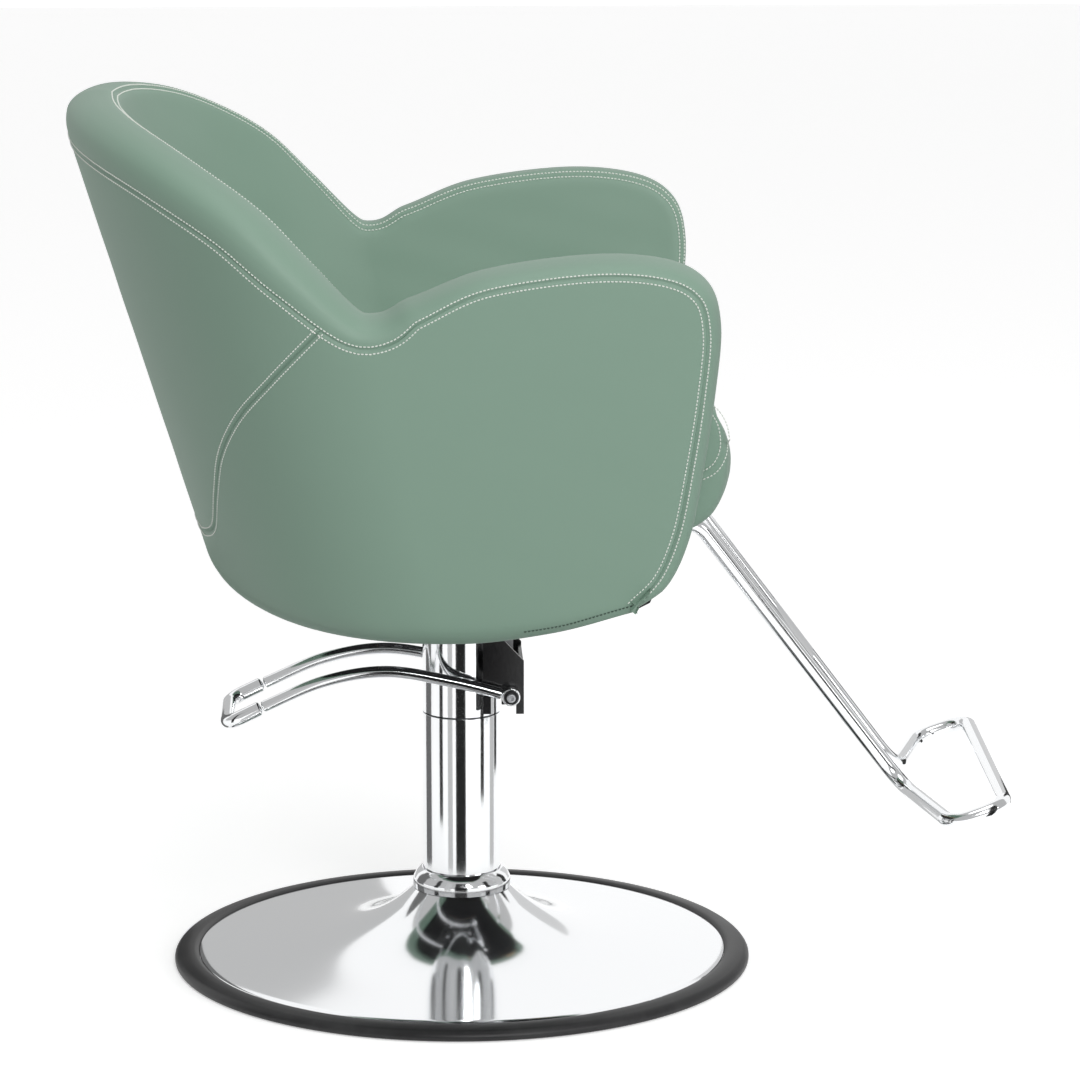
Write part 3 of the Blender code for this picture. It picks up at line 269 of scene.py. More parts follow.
def chrome_finish():
    """Polished chrome with the faintest orange peel and a wiped haze."""
    made = bpy.data.materials.get("chrome")
    if made:
        return made
    look = settings("chair_metal")
    f = Finish("chrome", Metallic=1.0)
    haze = f.noise(9.0, 4.0, 0.6)
    wipe = f.noise(26.0, 3.0, 0.6, vector=f.place((1.0, 1.0, 0.15), (0.0, 0.0, 0.6)))
    peel = f.noise(85.0, 1.0)
    low = look.chrome_roughness
    f.feed(Roughness=low + 0.035 * f.span(haze, 0.45, 0.75, 0.0, 1.0) + 0.018 * wipe)
    colour = np.array(look.chrome)
    f.feed(Base_Color=f.blend(haze, colour * 1.02, colour * 0.97))
    f.bump(peel, 0.000015)
    return f.material


def brushed_finish(name, colour, roughness, direction):
    """Plain steel with fine lines along one way."""
    f = Finish(name, Metallic=1.0)
    lines = f.noise(60.0, 4.0, 0.7, vector=f.place(direction))
    drift = f.noise(14.0, 3.0)
    colour = np.array(colour)
    f.feed(Base_Color=f.blend(drift, colour * 0.86, colour * 1.10), Roughness=roughness + 0.16 * lines)
    f.bump(lines, 0.00003)
    return f.material


def paint_finish():
    """Black stoved paint, glossy, with light orange peel and a blotchy dust that lightens and roughens it."""
    f = Finish("black_paint", Specular_IOR_Level=0.55, Coat_Roughness=0.08)
    peel = f.noise(240.0, 2.0, 0.5)
    dust = f.noise(32.0, 5.0, 0.7)
    shade = f.span(dust, 0.55, 0.80, 0.0, 0.5)
    f.feed(Base_Color=f.blend(shade, (0.010, 0.010, 0.011), (0.030, 0.030, 0.031)),
           Roughness=0.17 + 0.14 * dust)
    f.bump(peel, 0.00006)
    return f.material


def rubber_finish():
    """Satin black rubber with a fine moulded grain and a dusty bloom."""
    f = Finish("rubber", Specular_IOR_Level=0.45)
    grain = f.noise(1300.0, 2.0, 0.6)
    bloom = f.noise(16.0, 5.0, 0.65)
    shade = f.span(bloom, 0.40, 0.75, 0.0, 1.0)
    f.feed(Base_Color=f.blend(shade, (0.011, 0.011, 0.012), (0.026, 0.026, 0.027)),
           Roughness=0.36 + 0.16 * bloom)
    f.bump(grain, 0.00005)
    return f.material


def plywood_finish():
    """Raw birch ply: long grain, darker streaks, and ply lines across the edges."""
    f = Finish("plywood", Specular_IOR_Level=0.3)
    grain = f.noise(30.0, 5.0, 0.65, vector=f.place((0.6, 9.0, 1.0)), distortion=0.8)
    plies = f.node("ShaderNodeTexWave", {"wave_type": "BANDS", "bands_direction": "Z"},
                   {"Vector": f.place(), "Scale": 190.0})
    tone = f.blend(f.span(grain, 0.35, 0.70, 0.0, 1.0), (0.60, 0.43, 0.26), (0.42, 0.27, 0.14))
    f.feed(Base_Color=f.blend(plies * 0.25, tone, (0.30, 0.18, 0.09)), Roughness=0.62 + 0.15 * grain)
    f.bump(grain, 0.0002)
    return f.material


def lining_finish():
    """Black spun lining cloth: a square weave of fine threads."""
    f = Finish("lining", Specular_IOR_Level=0.2, Roughness=0.9)
    warp = f.node("ShaderNodeTexWave", {"wave_type": "BANDS", "bands_direction": "X"},
                  {"Vector": f.place(), "Scale": 320.0})
    weft = f.node("ShaderNodeTexWave", {"wave_type": "BANDS", "bands_direction": "Y"},
                  {"Vector": f.place(), "Scale": 320.0})
    weave = warp * 0.5 + weft * 0.5
    fluff = f.noise(120.0, 4.0, 0.7)
    f.feed(Base_Color=f.blend(weave * fluff, (0.012, 0.012, 0.013), (0.060, 0.060, 0.062)))
    f.bump(weave, 0.0002)
    return f.material


# ================================================================================================
# Mesh helpers
# ================================================================================================

def grid_faces(rows, columns, close_rows=False, close_columns=False, start=0):
    """Quads of a grid of points, row by row, closed on itself along either way."""
    i = np.arange(rows if close_rows else rows - 1)[:, None]
    j = np.arange(columns if close_columns else columns - 1)[None, :]
    k = (i + 1) % rows
    m = (j + 1) % columns
    quads = np.stack([i * columns + j, i * columns + m, k * columns + m, k * columns + j], axis=-1)
    return quads.reshape(-1, 4) + start


def add_piece(name, vertices, faces, material, body, replaces=(), seam=None, merge=0.0):
    """Mesh piece, smooth shaded, faces turned outwards, riding on a body.

    seam is the distance of each point from its nearest seam, kept as an attribute.
    """
    mesh = bpy.data.meshes.new(name)
    mesh.from_pydata(np.asarray(vertices).tolist(), [], [list(f) for f in faces])
    if seam is not None:
        store = mesh.attributes.new("seam", "FLOAT", "POINT")
        store.data.foreach_set("value", np.asarray(seam, np.float32).ravel())
    bm = bmesh.new()
    bm.from_mesh(mesh)
    if merge:
        bmesh.ops.remove_doubles(bm, verts=bm.verts, dist=merge)
    bmesh.ops.recalc_face_normals(bm, faces=bm.faces)
    bm.to_mesh(mesh)
    bm.free()
    mesh.shade_smooth()
    mesh.set_sharp_from_angle(angle=math.radians(38))
    mesh.materials.append(material)
    piece = bpy.data.objects.new(name, mesh)
    bpy.context.scene.collection.objects.link(piece)
    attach(piece, body)
    if replaces:
        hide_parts(*replaces)
    return piece


def lengths(points, axis=0):
    """Running length along an axis of an array of points, starting at 0."""
    step = np.linalg.norm(np.diff(points, axis=axis), axis=-1)
    pad = [(0, 0)] * step.ndim
    pad[axis] = (1, 0)
    return np.pad(np.cumsum(step, axis=axis), pad)


def even_points(points, count, by=None):
    """Rows of points spaced evenly along the line they make; by is the line in space if it differs."""
    run = lengths(points if by is None else by)
    where = np.linspace(0.0, run[-1], count)
    return np.stack([np.interp(where, run, column) for column in points.T], axis=-1)


def smooth_path(points, steps):
    """Catmull-Rom curve through the points: a cubic on each span from its four nearest points."""
    pts = np.asarray(points, float)
    pts = np.vstack([2 * pts[0] - pts[1], pts, 2 * pts[-1] - pts[-2]])
    t = (np.arange(steps) / steps)[None, :, None]
    p0, p1, p2, p3 = pts[:-3, None], pts[1:-2, None], pts[2:-1, None], pts[3:, None]
    curve = 0.5 * (2 * p1 + (p2 - p0) * t + (2 * p0 - 5 * p1 + 4 * p2 - p3) * t ** 2
                   + (3 * p1 - p0 - 3 * p2 + p3) * t ** 3)
    return np.vstack([curve.reshape(-1, pts.shape[1]), pts[-2]])


def rounded_path(corners, radii, steps=14):
    """Path through corner points, each inner corner replaced by an arc of its radius."""
    corners = [Vector(c) for c in corners]
    path = [corners[0]]
    for before, corner, after, radius in zip(corners, corners[1:], corners[2:], radii):
        back = (before - corner).normalized()
        ahead = (after - corner).normalized()
        half = back.angle(ahead) / 2.0
        centre = corner + (back + ahead).normalized() * (radius / math.sin(half))
        start = corner + back * (radius / math.tan(half)) - centre
        end = corner + ahead * (radius / math.tan(half)) - centre
        turn = np.linspace(0.0, 1.0, steps + 1)[:, None]
        sweep = start.angle(end)
        arc = (np.sin((1 - turn) * sweep) * np.array(start) + np.sin(turn * sweep) * np.array(end))
        path.extend(np.array(centre) + arc / math.sin(sweep))
    path.append(corners[-1])
    return np.array([tuple(p) for p in path])


def normals_of(grid):
    """Unit normal at each point of a grid: the cross product of its two directions, evened out by
    three passes of a 1-2-1 average each way."""
    normal = np.cross(np.gradient(grid, axis=1), np.gradient(grid, axis=0))
    normal /= np.maximum(np.linalg.norm(normal, axis=-1, keepdims=True), 1e-12)
    for _ in range(3):
        for axis in (0, 1):
            pad = [(1, 1) if axis == k else (0, 0) for k in range(3)]
            wide = np.pad(normal, pad, mode="edge")
            here = np.arange(normal.shape[axis])
            normal = (np.take(wide, here, axis) + np.take(wide, here + 2, axis) + 2.0 * normal) / 4.0
    return normal / np.maximum(np.linalg.norm(normal, axis=-1, keepdims=True), 1e-12)


def thick_sheet(grid, normal, thickness):
    """Closed skin: the grid, its copy set back along the normal, and a strip round the border."""
    rows, columns = grid.shape[:2]
    size = rows * columns
    front = grid_faces(rows, columns)
    back = front[:, ::-1] + size
    index = np.arange(size).reshape(rows, columns)
    border = np.concatenate([index[0], index[1:, -1], index[-1, -2::-1], index[-2:0:-1, 0]])
    ahead = np.roll(border, -1)
    strip = np.stack([border, ahead, ahead + size, border + size], axis=-1)
    points = np.concatenate([grid.reshape(-1, 3), (grid - normal * thickness).reshape(-1, 3)])
    return points, np.concatenate([front, back, strip])


def tube_grid(path, radius, sides, across):
    """Rings of points round a path: the section's sides are square to it, starting from across."""
    path = np.asarray(path, float)
    run = np.gradient(path, axis=0)
    run /= np.linalg.norm(run, axis=1)[:, None]
    side = np.cross(run, np.asarray(across, float))
    side /= np.linalg.norm(side, axis=1)[:, None]
    other = np.cross(run, side)
    turn = np.linspace(0.0, 2.0 * math.pi, sides, endpoint=False)
    radius = np.broadcast_to(radius, len(path))[:, None, None]
    ring = np.cos(turn)[None, :, None] * side[:, None] + np.sin(turn)[None, :, None] * other[:, None]
    return path[:, None] + radius * ring


def tube(name, path, radius, material, body, across=(0.0, 0.0, 1.0), sides=28, replaces=()):
    """Round bar along a path with its two ends closed by domes a third of its radius deep."""
    path = np.asarray(path, float)
    dome = np.radians(np.array([80.0, 55.0, 30.0]))
    first = path[0] - path[1]
    last = path[-1] - path[-2]
    first /= np.linalg.norm(first)
    last /= np.linalg.norm(last)
    deep = 0.33 * radius
    head = path[0] + first * deep * (np.sin(dome) - 1.0)[:, None]
    tail = (path[-1] + last * deep * (np.sin(dome) - 1.0)[:, None])[::-1]
    full = np.concatenate([head, [path[0] - first * deep], path[1:-1], [path[-1] - last * deep], tail])
    radii = np.concatenate([np.cos(dome), np.ones(len(path)), np.cos(dome)[::-1]]) * radius
    grid = tube_grid(full, radii, sides, across)
    faces = grid_faces(len(full), sides, close_columns=True).tolist()
    faces += [list(range(sides)), list(range((len(full) - 1) * sides, len(full) * sides))]
    return add_piece(name, grid.reshape(-1, 3), faces, material, body, replaces)


def turned(name, outline, material, body, replaces=(), centre=None, axis="Z", segments=None):
    """Solid of revolution: a closed outline of (radius, height) turned about Z, or about Y at a centre."""
    outline = np.asarray(outline, float)
    count = segments or settings("chair_metal").segments
    turn = np.linspace(0.0, 2.0 * math.pi, count, endpoint=False)[:, None]
    radius, height = outline[:, 0][None], outline[:, 1][None]
    level = np.broadcast_to(height, (count, outline.shape[0]))
    parts = [radius * np.cos(turn), radius * np.sin(turn), level]
    if axis == "Y":
        parts = [radius * np.cos(turn), level, radius * np.sin(turn)]
    points = np.stack(parts, axis=-1)
    if centre is not None:
        points = points + np.asarray(centre)
    faces = grid_faces(count, outline.shape[0], close_rows=True, close_columns=True)
    return add_piece(name, points.reshape(-1, 3), faces, material, body, replaces, merge=1e-6)


def soft_outline(points, radii, steps=5):
    """Closed outline with each corner rounded by its own radius (0 keeps it sharp)."""
    pts = np.asarray(points, float)
    out = []
    for i, radius in enumerate(radii):
        before, here, after = pts[i - 1], pts[i], pts[(i + 1) % len(pts)]
        if radius == 0.0:
            out.append(here[None])
            continue
        a = (before - here) / np.linalg.norm(before - here)
        b = (after - here) / np.linalg.norm(after - here)
        t = np.linspace(0.0, 1.0, steps + 1)[:, None]
        start, end = here + a * radius, here + b * radius
        out.append((1 - t) ** 2 * start + 2 * t * (1 - t) * here + t ** 2 * end)
    return np.concatenate(out)


# ================================================================================================
# Tub wall, as in the frame
# ================================================================================================

WALL_T = 0.062
BACK_X, BACK_Z, BACK_LEAN = -0.2600, 0.440, 0.311
SIDE_Y, ARM_Z, SIDE_FLARE = 0.337, 0.720, 0.150
BEND_X, BEND_SHIFT, ARM_TAPER = -0.020, 0.230, 0.012
TUB_BOTTOM, BOTTOM_RISE = 0.3993, 0.395
CURL_BACK, CURL_SIDE = 0.045, 0.020
SEAM_BACK, SEAM_ARM = 0.045, 0.016
NOSE_X, NOSE_SWEEP = 0.2765, 0.015
PANEL_SEAM_Z = 0.475
APRON_SWEEP = 0.0120
MIDDLE = (-0.03, 0.0, 0.60)
# The rim band ends on the wall's inner side: its share of the wall's thickness and its drop there.
CREST = 0.945
INNER_DROP = 0.0042
# Thread along the lower edge: its distance from the edge and where it starts.
EDGE_ROW_OFFSET = 0.0165
EDGE_ROW_START = 0.055
BACK_RIM = [(0.00, 0.912), (0.24, 0.905), (0.45, 0.889), (0.62, 0.863), (0.76, 0.830), (0.87, 0.784)]
ARM_RIM = [(-0.100, 0.7330), (-0.052, 0.7480), (0.018, 0.7745), (0.120, 0.7880), (0.194, 0.7820),
           (0.234, 0.7590), (0.2470, 0.7170), (0.2430, 0.6530), (0.2320, 0.5740), (0.2190, 0.5060),
           (0.1980, 0.4590), (0.1660, 0.4340)]
PANEL_SEAM = [(-0.2600, 0.4752), (-0.2495, 0.4900), (-0.2458, 0.5300), (-0.2400, 0.5760),
              (-0.2220, 0.6210), (-0.1900, 0.6645), (-0.138, 0.7105)]
RIM_STEPS = 14
DIP = RIM_STEPS * len(BACK_RIM)


def back_x(z):
    return BACK_X - BACK_LEAN * (z - BACK_Z)


def side_y(z):
    return SIDE_Y + SIDE_FLARE * (z - ARM_Z)


def bend_x(z):
    return BEND_X - BEND_SHIFT * (z - TUB_BOTTOM)


def lower_edge(x):
    return TUB_BOTTOM + BOTTOM_RISE * np.maximum(x, 0.0) ** 1.5


def station(x, z):
    """Way round the wall: 0 at the middle of the back, 1 at the bend, above 1 along the arm."""
    reach = (bend_x(z) - x) / (bend_x(z) - back_x(z))
    behind = np.arccos(np.clip(reach, -1.0, 1.0)) / (math.pi / 2.0)
    return np.where(x >= bend_x(z), 1.0 + (x - bend_x(z)), behind)


def wall_point(p, z, depth):
    """Point of the wall at station p and height z, at a depth behind its outer face.

    Behind the bend the plan is a quarter ellipse, ahead of it a straight line that draws in with
    the square of the way along, and at the lower edge the wall curls under on a quarter circle.
    """
    p, z, depth = np.broadcast_arrays(np.asarray(p, float), z, depth)
    angle = np.minimum(p, 1.0) * math.pi / 2.0
    along = np.maximum(p - 1.0, 0.0)
    x_flat = bend_x(z) + along
    lift = z - lower_edge(np.where(p > 1.0, x_flat, 0.0))
    curl = CURL_BACK + (CURL_SIDE - CURL_BACK) * np.sin(angle) ** 2
    under = np.clip(curl - lift, 0.0, curl)
    inward = depth + curl - np.sqrt(curl ** 2 - under ** 2)
    long_axis = bend_x(z) - back_x(z) - inward
    x = np.where(p > 1.0, x_flat, bend_x(z) - long_axis * np.cos(angle))
    y = (side_y(z) - inward) * np.sin(angle) - ARM_TAPER * (along / (NOSE_X - BEND_X)) ** 2
    return np.stack([x, y, z], axis=-1)


def rim_curve():
    """Rim from the middle of the back to the foot of the arm's front, as (station, height) rows."""
    arm = [(float(station(x, z)), z) for x, z in ARM_RIM]
    return smooth_path(BACK_RIM + arm, RIM_STEPS)


def inset_rim(rim, depth, probe=0.33):
    """Rim moved into the wall by a depth, square to itself: the shift in station and height whose
    step in space is nearest to that move, by least squares. The move points down at the probe, a
    share of the way along."""
    step = 1e-4
    p, z = rim[:, 0], rim[:, 1]
    here = wall_point(p, z, 0.0)
    a = (wall_point(p + step, z, 0.0) - here) / step
    b = (wall_point(p, z + step, 0.0) - here) / step
    run = np.gradient(here, axis=0)
    inward = np.cross(np.cross(a, b), run)
    inward /= np.linalg.norm(inward, axis=1)[:, None]
    inward *= -np.sign(inward[int(probe * len(inward)), 2])
    aa, ab, bb = (a * a).sum(1), (a * b).sum(1), (b * b).sum(1)
    da, db = (a * inward).sum(1), (b * inward).sum(1)
    scale = aa * bb - ab ** 2
    shift = np.stack([(da * bb - db * ab) / scale, (db * aa - da * ab) / scale], axis=-1)
    return rim + shift * np.broadcast_to(depth, len(rim))[:, None]


def band_depth(count):
    """Depth of the rim band: deep round the back, shallow along the arm, less at its foot."""
    row = np.arange(count)
    share = np.clip((row - DIP + 2 * RIM_STEPS) / (4 * RIM_STEPS), 0.0, 1.0)
    depth = SEAM_BACK + (SEAM_ARM - SEAM_BACK) * share ** 2 * (3.0 - 2.0 * share)
    end = np.clip((row - count + 2 * RIM_STEPS) / (2 * RIM_STEPS), 0.0, 1.0)
    return depth - 0.006 * end ** 2


def mirror_across(grid):
    """Grid from the back's middle out to the left, carried on to the right as its mirror image."""
    return np.concatenate([grid[:, :0:-1] * (1.0, -1.0, 1.0), grid], axis=1)


def drift(points):
    """Slow unevenness of stretched leather over foam: a sum of four sines of place, from -1 to 1."""
    x, y, z = points[..., 0], points[..., 1], points[..., 2]
    return (np.sin(31 * x + 17 * z + 1.0) * np.sin(23 * y - 11 * z) * 0.4
            + np.sin(57 * z - 29 * x + 2.0) * 0.25 + np.sin(71 * y + 43 * x) * 0.2
            + np.sin(113 * z + 67 * y + 37 * x) * 0.15)


def sink_seams(grid, normal, seam, along, rise=0.0004):
    """Grid pushed in by the seams' valley and puckers.

    The valley is a narrow bell of the distance from the seam with a wide shallow one under it. The
    puckers are two sines of the way along, fading over 7 mm.
    """
    look = settings("chair_leather")
    valley = np.exp(-(seam / 0.0017) ** 2) + 0.34 * np.exp(-(seam / 0.009) ** 2)
    wave = np.sin(along * 620.0) + 0.7 * np.sin(along * 397.0 + 1.3)
    pucker = wave * np.exp(-seam / 0.007) * (1.0 - np.exp(-(seam / 0.003) ** 2))
    out = look.pucker * pucker - look.seam_dip * valley
    out = out + rise * drift(grid) * (1.0 - np.exp(-(seam / 0.03) ** 2))
    return grid + normal * out[..., None]


def outward(grid, normal, centre):
    """Normals turned to point away from a centre on the whole."""
    facing = (normal * (grid - np.asarray(centre))).sum(axis=-1).mean()
    return normal if facing > 0 else -normal


def line_beside(grid, normal, distance, from_end=False):
    """Line on a grid at a distance from its first row (or its last), with the normals there.

    Each column's running length gives the two rows on either side of the distance, and the point
    lies between them. Columns too short for the line are left out.
    """
    if from_end:
        grid, normal = grid[::-1], normal[::-1]
    run = lengths(grid)
    row = np.clip((run < distance).sum(axis=0) - 1, 0, len(grid) - 2)[None]
    low = np.take_along_axis(run, row, 0)[0]
    high = np.take_along_axis(run, row + 1, 0)[0]
    share = np.clip((distance - low) / np.maximum(high - low, 1e-9), 0.0, 1.0)[:, None]
    pick = row[..., None]

    def between(values):
        first = np.take_along_axis(values, pick, 0)[0]
        second = np.take_along_axis(values, pick + 1, 0)[0]
        return first + (second - first) * share

    keep = run[-1] > 2.2 * distance
    return between(grid)[keep], between(normal)[keep]


def sewn_row(line, offset, probe=0.33):
    """Row of thread on the outer face beside a seam: the seam's line moved by the offset and sunk as
    far as the leather is there."""
    moved = inset_rim(line, offset, probe)
    step = 1e-4
    p, z = moved[:, 0], moved[:, 1]
    here = wall_point(p, z, 0.0)
    normal = np.cross(wall_point(p + step, z, 0.0) - here, wall_point(p, z + step, 0.0) - here)
    normal = outward(here, normal / np.linalg.norm(normal, axis=1)[:, None], MIDDLE)
    valley = math.exp(-(offset / 0.0017) ** 2) + 0.34 * math.exp(-(offset / 0.009) ** 2)
    return here - normal * settings("chair_leather").seam_dip * valley, normal


# ================================================================================================
# Stitching
# ================================================================================================

STITCH_SIDES = 5


def stitches(name, rows, material, body):
    """Rows of short stitches, each a bead of thread arched over its two holes.

    A row is a line of points with normals. A stitch is a spindle of three rings and two poles: its
    rings follow the line's direction, and its ends dip into the leather.
    """
    look = settings("chair_thread")
    centres, ways, ups = [], [], []
    for points, normal in rows:
        run = lengths(points)
        where = np.arange(0.5 * look.pitch, run[-1], look.pitch)
        half = 0.35 * look.pitch
        at = [np.stack([np.interp(where + s, run, c) for c in points.T], -1) for s in (-half, 0.0, half)]
        centres.append(at[1])
        ways.append(at[2] - at[0])
        ups.append(np.stack([np.interp(where, run, c) for c in normal.T], -1))
    centre, way, up = np.concatenate(centres), np.concatenate(ways), np.concatenate(ups)
    way /= np.linalg.norm(way, axis=1)[:, None]
    up -= way * (up * way).sum(1)[:, None]
    up /= np.linalg.norm(up, axis=1)[:, None]
    side = np.cross(up, way)
    spot = np.array([-1.0, -0.72, 0.0, 0.72, 1.0]) * look.length / 2
    size = np.array([0.0, 0.85, 1.0, 0.85, 0.0]) * look.radius
    lift = np.array([-0.8, 0.25, 0.75, 0.25, -0.8]) * look.radius
    turn = np.linspace(0.0, 2.0 * math.pi, STITCH_SIDES, endpoint=False)
    ring = size[:, None, None] * np.stack([np.cos(turn), np.sin(turn)], -1)[None]
    local = (spot[None, :, None, None] * way[:, None, None]
             + (lift[:, None] + ring[..., 1])[None, ..., None] * up[:, None, None]
             + ring[None, ..., :1] * side[:, None, None])
    points = centre[:, None, None] + local
    count = len(centre)
    per = len(spot) * STITCH_SIDES
    faces = grid_faces(len(spot), STITCH_SIDES, close_columns=True)
    faces = (faces[None] + (np.arange(count) * per)[:, None, None]).reshape(-1, 4)
    return add_piece(name, points.reshape(-1, 3), faces, material, body, merge=1e-7)


# ================================================================================================
# Tub pieces
# ================================================================================================

def tub_lines():
    """The rim, its outer seam and the seam between back and side panels, as (station, height)."""
    rim = rim_curve()
    outer = inset_rim(rim, band_depth(len(rim)))
    x = wall_point(outer[:, 0], outer[:, 1], 0.0)[:, 0]
    join = int(np.argmin(np.abs(x[:DIP + 2 * RIM_STEPS] - PANEL_SEAM[-1][0])))
    level = [(share, PANEL_SEAM_Z) for share in (0.0, 0.07, 0.14)]
    rising = [(float(station(x, z)), z) for x, z in PANEL_SEAM[:-1]]
    panel = smooth_path(level + rising + [tuple(outer[join])], RIM_STEPS)
    return rim, outer, join, panel


def on_wall(line, count):
    """A (station, height) line resampled evenly by its length on the wall."""
    return even_points(line, count, by=wall_point(line[:, 0], line[:, 1], 0.0))


CORNER_RISE = 0.0064
EDGE_ROWS = np.array([0.0, 0.0007, 0.0014, 0.0022, 0.0032, 0.0045, 0.0062, 0.0085, 0.012, 0.017])


def rows_between(top, foot, near, far, middle):
    """Shares of the way from a top line to a foot line: set distances from each, even between."""
    reach = np.linalg.norm(wall_point(top[:, 0], top[:, 1], 0.0) - wall_point(foot[:, 0], foot[:, 1], 0.0),
                           axis=1)
    reach = np.maximum(reach, 1e-5)
    start = np.minimum(near[:, None] / reach, np.linspace(0.0, 0.42, len(near))[:, None])
    end = 1.0 - np.minimum(far[::-1, None] / reach, np.linspace(0.42, 0.0, len(far))[:, None])
    steps = (np.arange(1, middle) / middle)[:, None]
    share = np.concatenate([start, start[-1] + (end[0] - start[-1]) * steps, end])
    return top[None] + (foot - top)[None] * share[..., None]


def back_panel_grid():
    """Outside back panel, from the rim seam down to the panel seam, meeting in a point each side."""
    _, outer, join, panel = tub_lines()
    top = on_wall(outer[:join + 1], 190)
    foot = on_wall(panel, 190)
    flat = rows_between(top, foot, EDGE_ROWS, EDGE_ROWS, 34)
    return mirror_across(wall_point(flat[..., 0], flat[..., 1], 0.0))


def side_panel_grid():
    """Outside panel of one side, from the seams down to the lower edge and under it."""
    _, outer, join, panel = tub_lines()
    top = on_wall(np.concatenate([panel, outer[join + 1:]]), 420)
    last = ARM_RIM[-1][0]
    x = np.linspace(BEND_X, last, 60)
    corner = np.clip((x - 0.080) / (last - 0.080), 0.0, 1.0)
    z = lower_edge(x) + 0.0015 + CORNER_RISE * corner ** 2 * (3.0 - 2.0 * corner)
    turn = np.linspace(0.0, 1.0, 60)[:-1]
    foot = np.concatenate([np.stack([turn, np.full(59, TUB_BOTTOM + 0.0015)], -1),
                           np.stack([station(x, z), z], -1)])
    foot = on_wall(foot, 420)
    curl = np.array([0.0, 0.0012, 0.003, 0.0055, 0.009, 0.013, 0.018, 0.024, 0.032, 0.045])
    flat = rows_between(top, foot, EDGE_ROWS, curl, 40)
    grid = wall_point(flat[..., 0], flat[..., 1], 0.0)
    low = flat[-1]
    under = [wall_point(low[:, 0], low[:, 1], depth) for depth in (0.004, 0.009, 0.016, 0.025, 0.0335)]
    rise = np.clip(0.4166 - low[:, 1], 0.0008, 0.0158)[:, None] * (0.0, 0.0, 1.0)
    under[3] = under[3] + rise * 0.03
    under += [under[4] + rise * share for share in (0.25, 0.6, 1.0)]
    under[4] = under[4] + rise * 0.10
    return np.concatenate([grid, np.stack(under)])


def band_grid(section_steps=7):
    """Rim band: a section that rises from the outer seam, rounds over and ends at the inner crest."""
    rim = rim_curve()
    depth = band_depth(len(rim))
    section = np.array([(1.00, 0.0), (0.66, 0.03), (0.36, 0.13), (0.14, 0.31), (0.02, 0.55), (0.00, 0.80)])
    section = smooth_path(np.vstack([section, [(0.0, CREST)]]), section_steps)
    fall = np.clip((section[:, 1] - 0.80) / 0.145, 0.0, 1.0) ** 2 * INNER_DROP
    square = np.clip((np.arange(len(rim)) - len(rim) + 4 * RIM_STEPS) / (3 * RIM_STEPS), 0.0, 1.0)
    rows = []
    for (share, across), drop in zip(section, fall):
        edge = inset_rim(rim, depth * max(share, 0.0) + drop)
        over = CREST * max(across / CREST, 0.0) ** (1.0 + 1.2 * square)
        rows.append(wall_point(edge[:, 0], edge[:, 1], over * WALL_T))
    grid = np.stack(rows)
    run = lengths(grid)
    total = run[-1]
    near = np.minimum(EDGE_ROWS[:, None] / total, np.linspace(0.0, 0.25, len(EDGE_ROWS))[:, None])
    steps = (np.arange(1, 30) / 30)[:, None]
    share = np.concatenate([near, near[-1] + (1.0 - 2.0 * near[-1]) * steps, 1.0 - near[::-1]])
    return mirror_across(regrid(grid, run, share * total))


def regrid(grid, run, where):
    """Grid resampled down each column at new running lengths."""
    row = np.clip((run[:, None] < where[None]).sum(axis=0) - 1, 0, len(grid) - 2)
    low = np.take_along_axis(run, row, 0)
    high = np.take_along_axis(run, row + 1, 0)
    share = ((where - low) / np.maximum(high - low, 1e-12))[..., None]
    first = np.take_along_axis(grid, row[..., None], 0)
    second = np.take_along_axis(grid, row[..., None] + 1, 0)
    return first + (second - first) * share


def lining_grid():
    """Inside of the tub, from the inner crest seam down past the cushion."""
    rim = rim_curve()
    top = inset_rim(rim, INNER_DROP)
    x = wall_point(top[:, 0], top[:, 1], WALL_T)[:, 0]
    x = np.concatenate([np.full(DIP, x[DIP]), np.linspace(x[DIP], ARM_RIM[-1][0], len(rim) - DIP)])
    share = np.clip((x - 0.130) / 0.050, 0.0, 1.0)
    level = 0.497 - (0.497 - lower_edge(x) - 0.012) * share ** 2 * (3.0 - 2.0 * share)
    level = np.minimum(level, top[:, 1] - 0.0005)
    reach = float(station(x[DIP], level[DIP])) / top[DIP, 0]
    behind = top[:, 0] * (1.0 + (reach - 1.0) * np.arange(len(rim)) / DIP)
    foot = np.stack([np.where(np.arange(len(rim)) < DIP, behind, station(x, level)), level], axis=-1)
    shoulder = [(0.0, CREST), (0.0012, 0.965), (0.0032, 0.984), (0.0062, 0.996), (0.010, 1.0)]
    rows = []
    for drop, across in shoulder:
        edge = inset_rim(rim, INNER_DROP + drop)
        rows.append(wall_point(edge[:, 0], edge[:, 1], across * WALL_T))
    start = inset_rim(rim, INNER_DROP + shoulder[-1][0])
    for share in (np.arange(1, 49) / 48) ** 1.15:
        way = start + (foot - start) * share
        rows.append(wall_point(way[:, 0], way[:, 1], WALL_T))
    return mirror_across(np.stack(rows))


def seam_fields(grid, first=True, last=False):
    """Distance from the seams along a grid's first and last rows, and the way along them."""
    run = lengths(grid)
    along = lengths(grid[0])
    seam = np.full(grid.shape[:2], 1.0)
    if first:
        seam = np.minimum(seam, run)
    if last:
        seam = np.minimum(seam, run[-1] - run)
    return seam, np.broadcast_to(along, seam.shape)


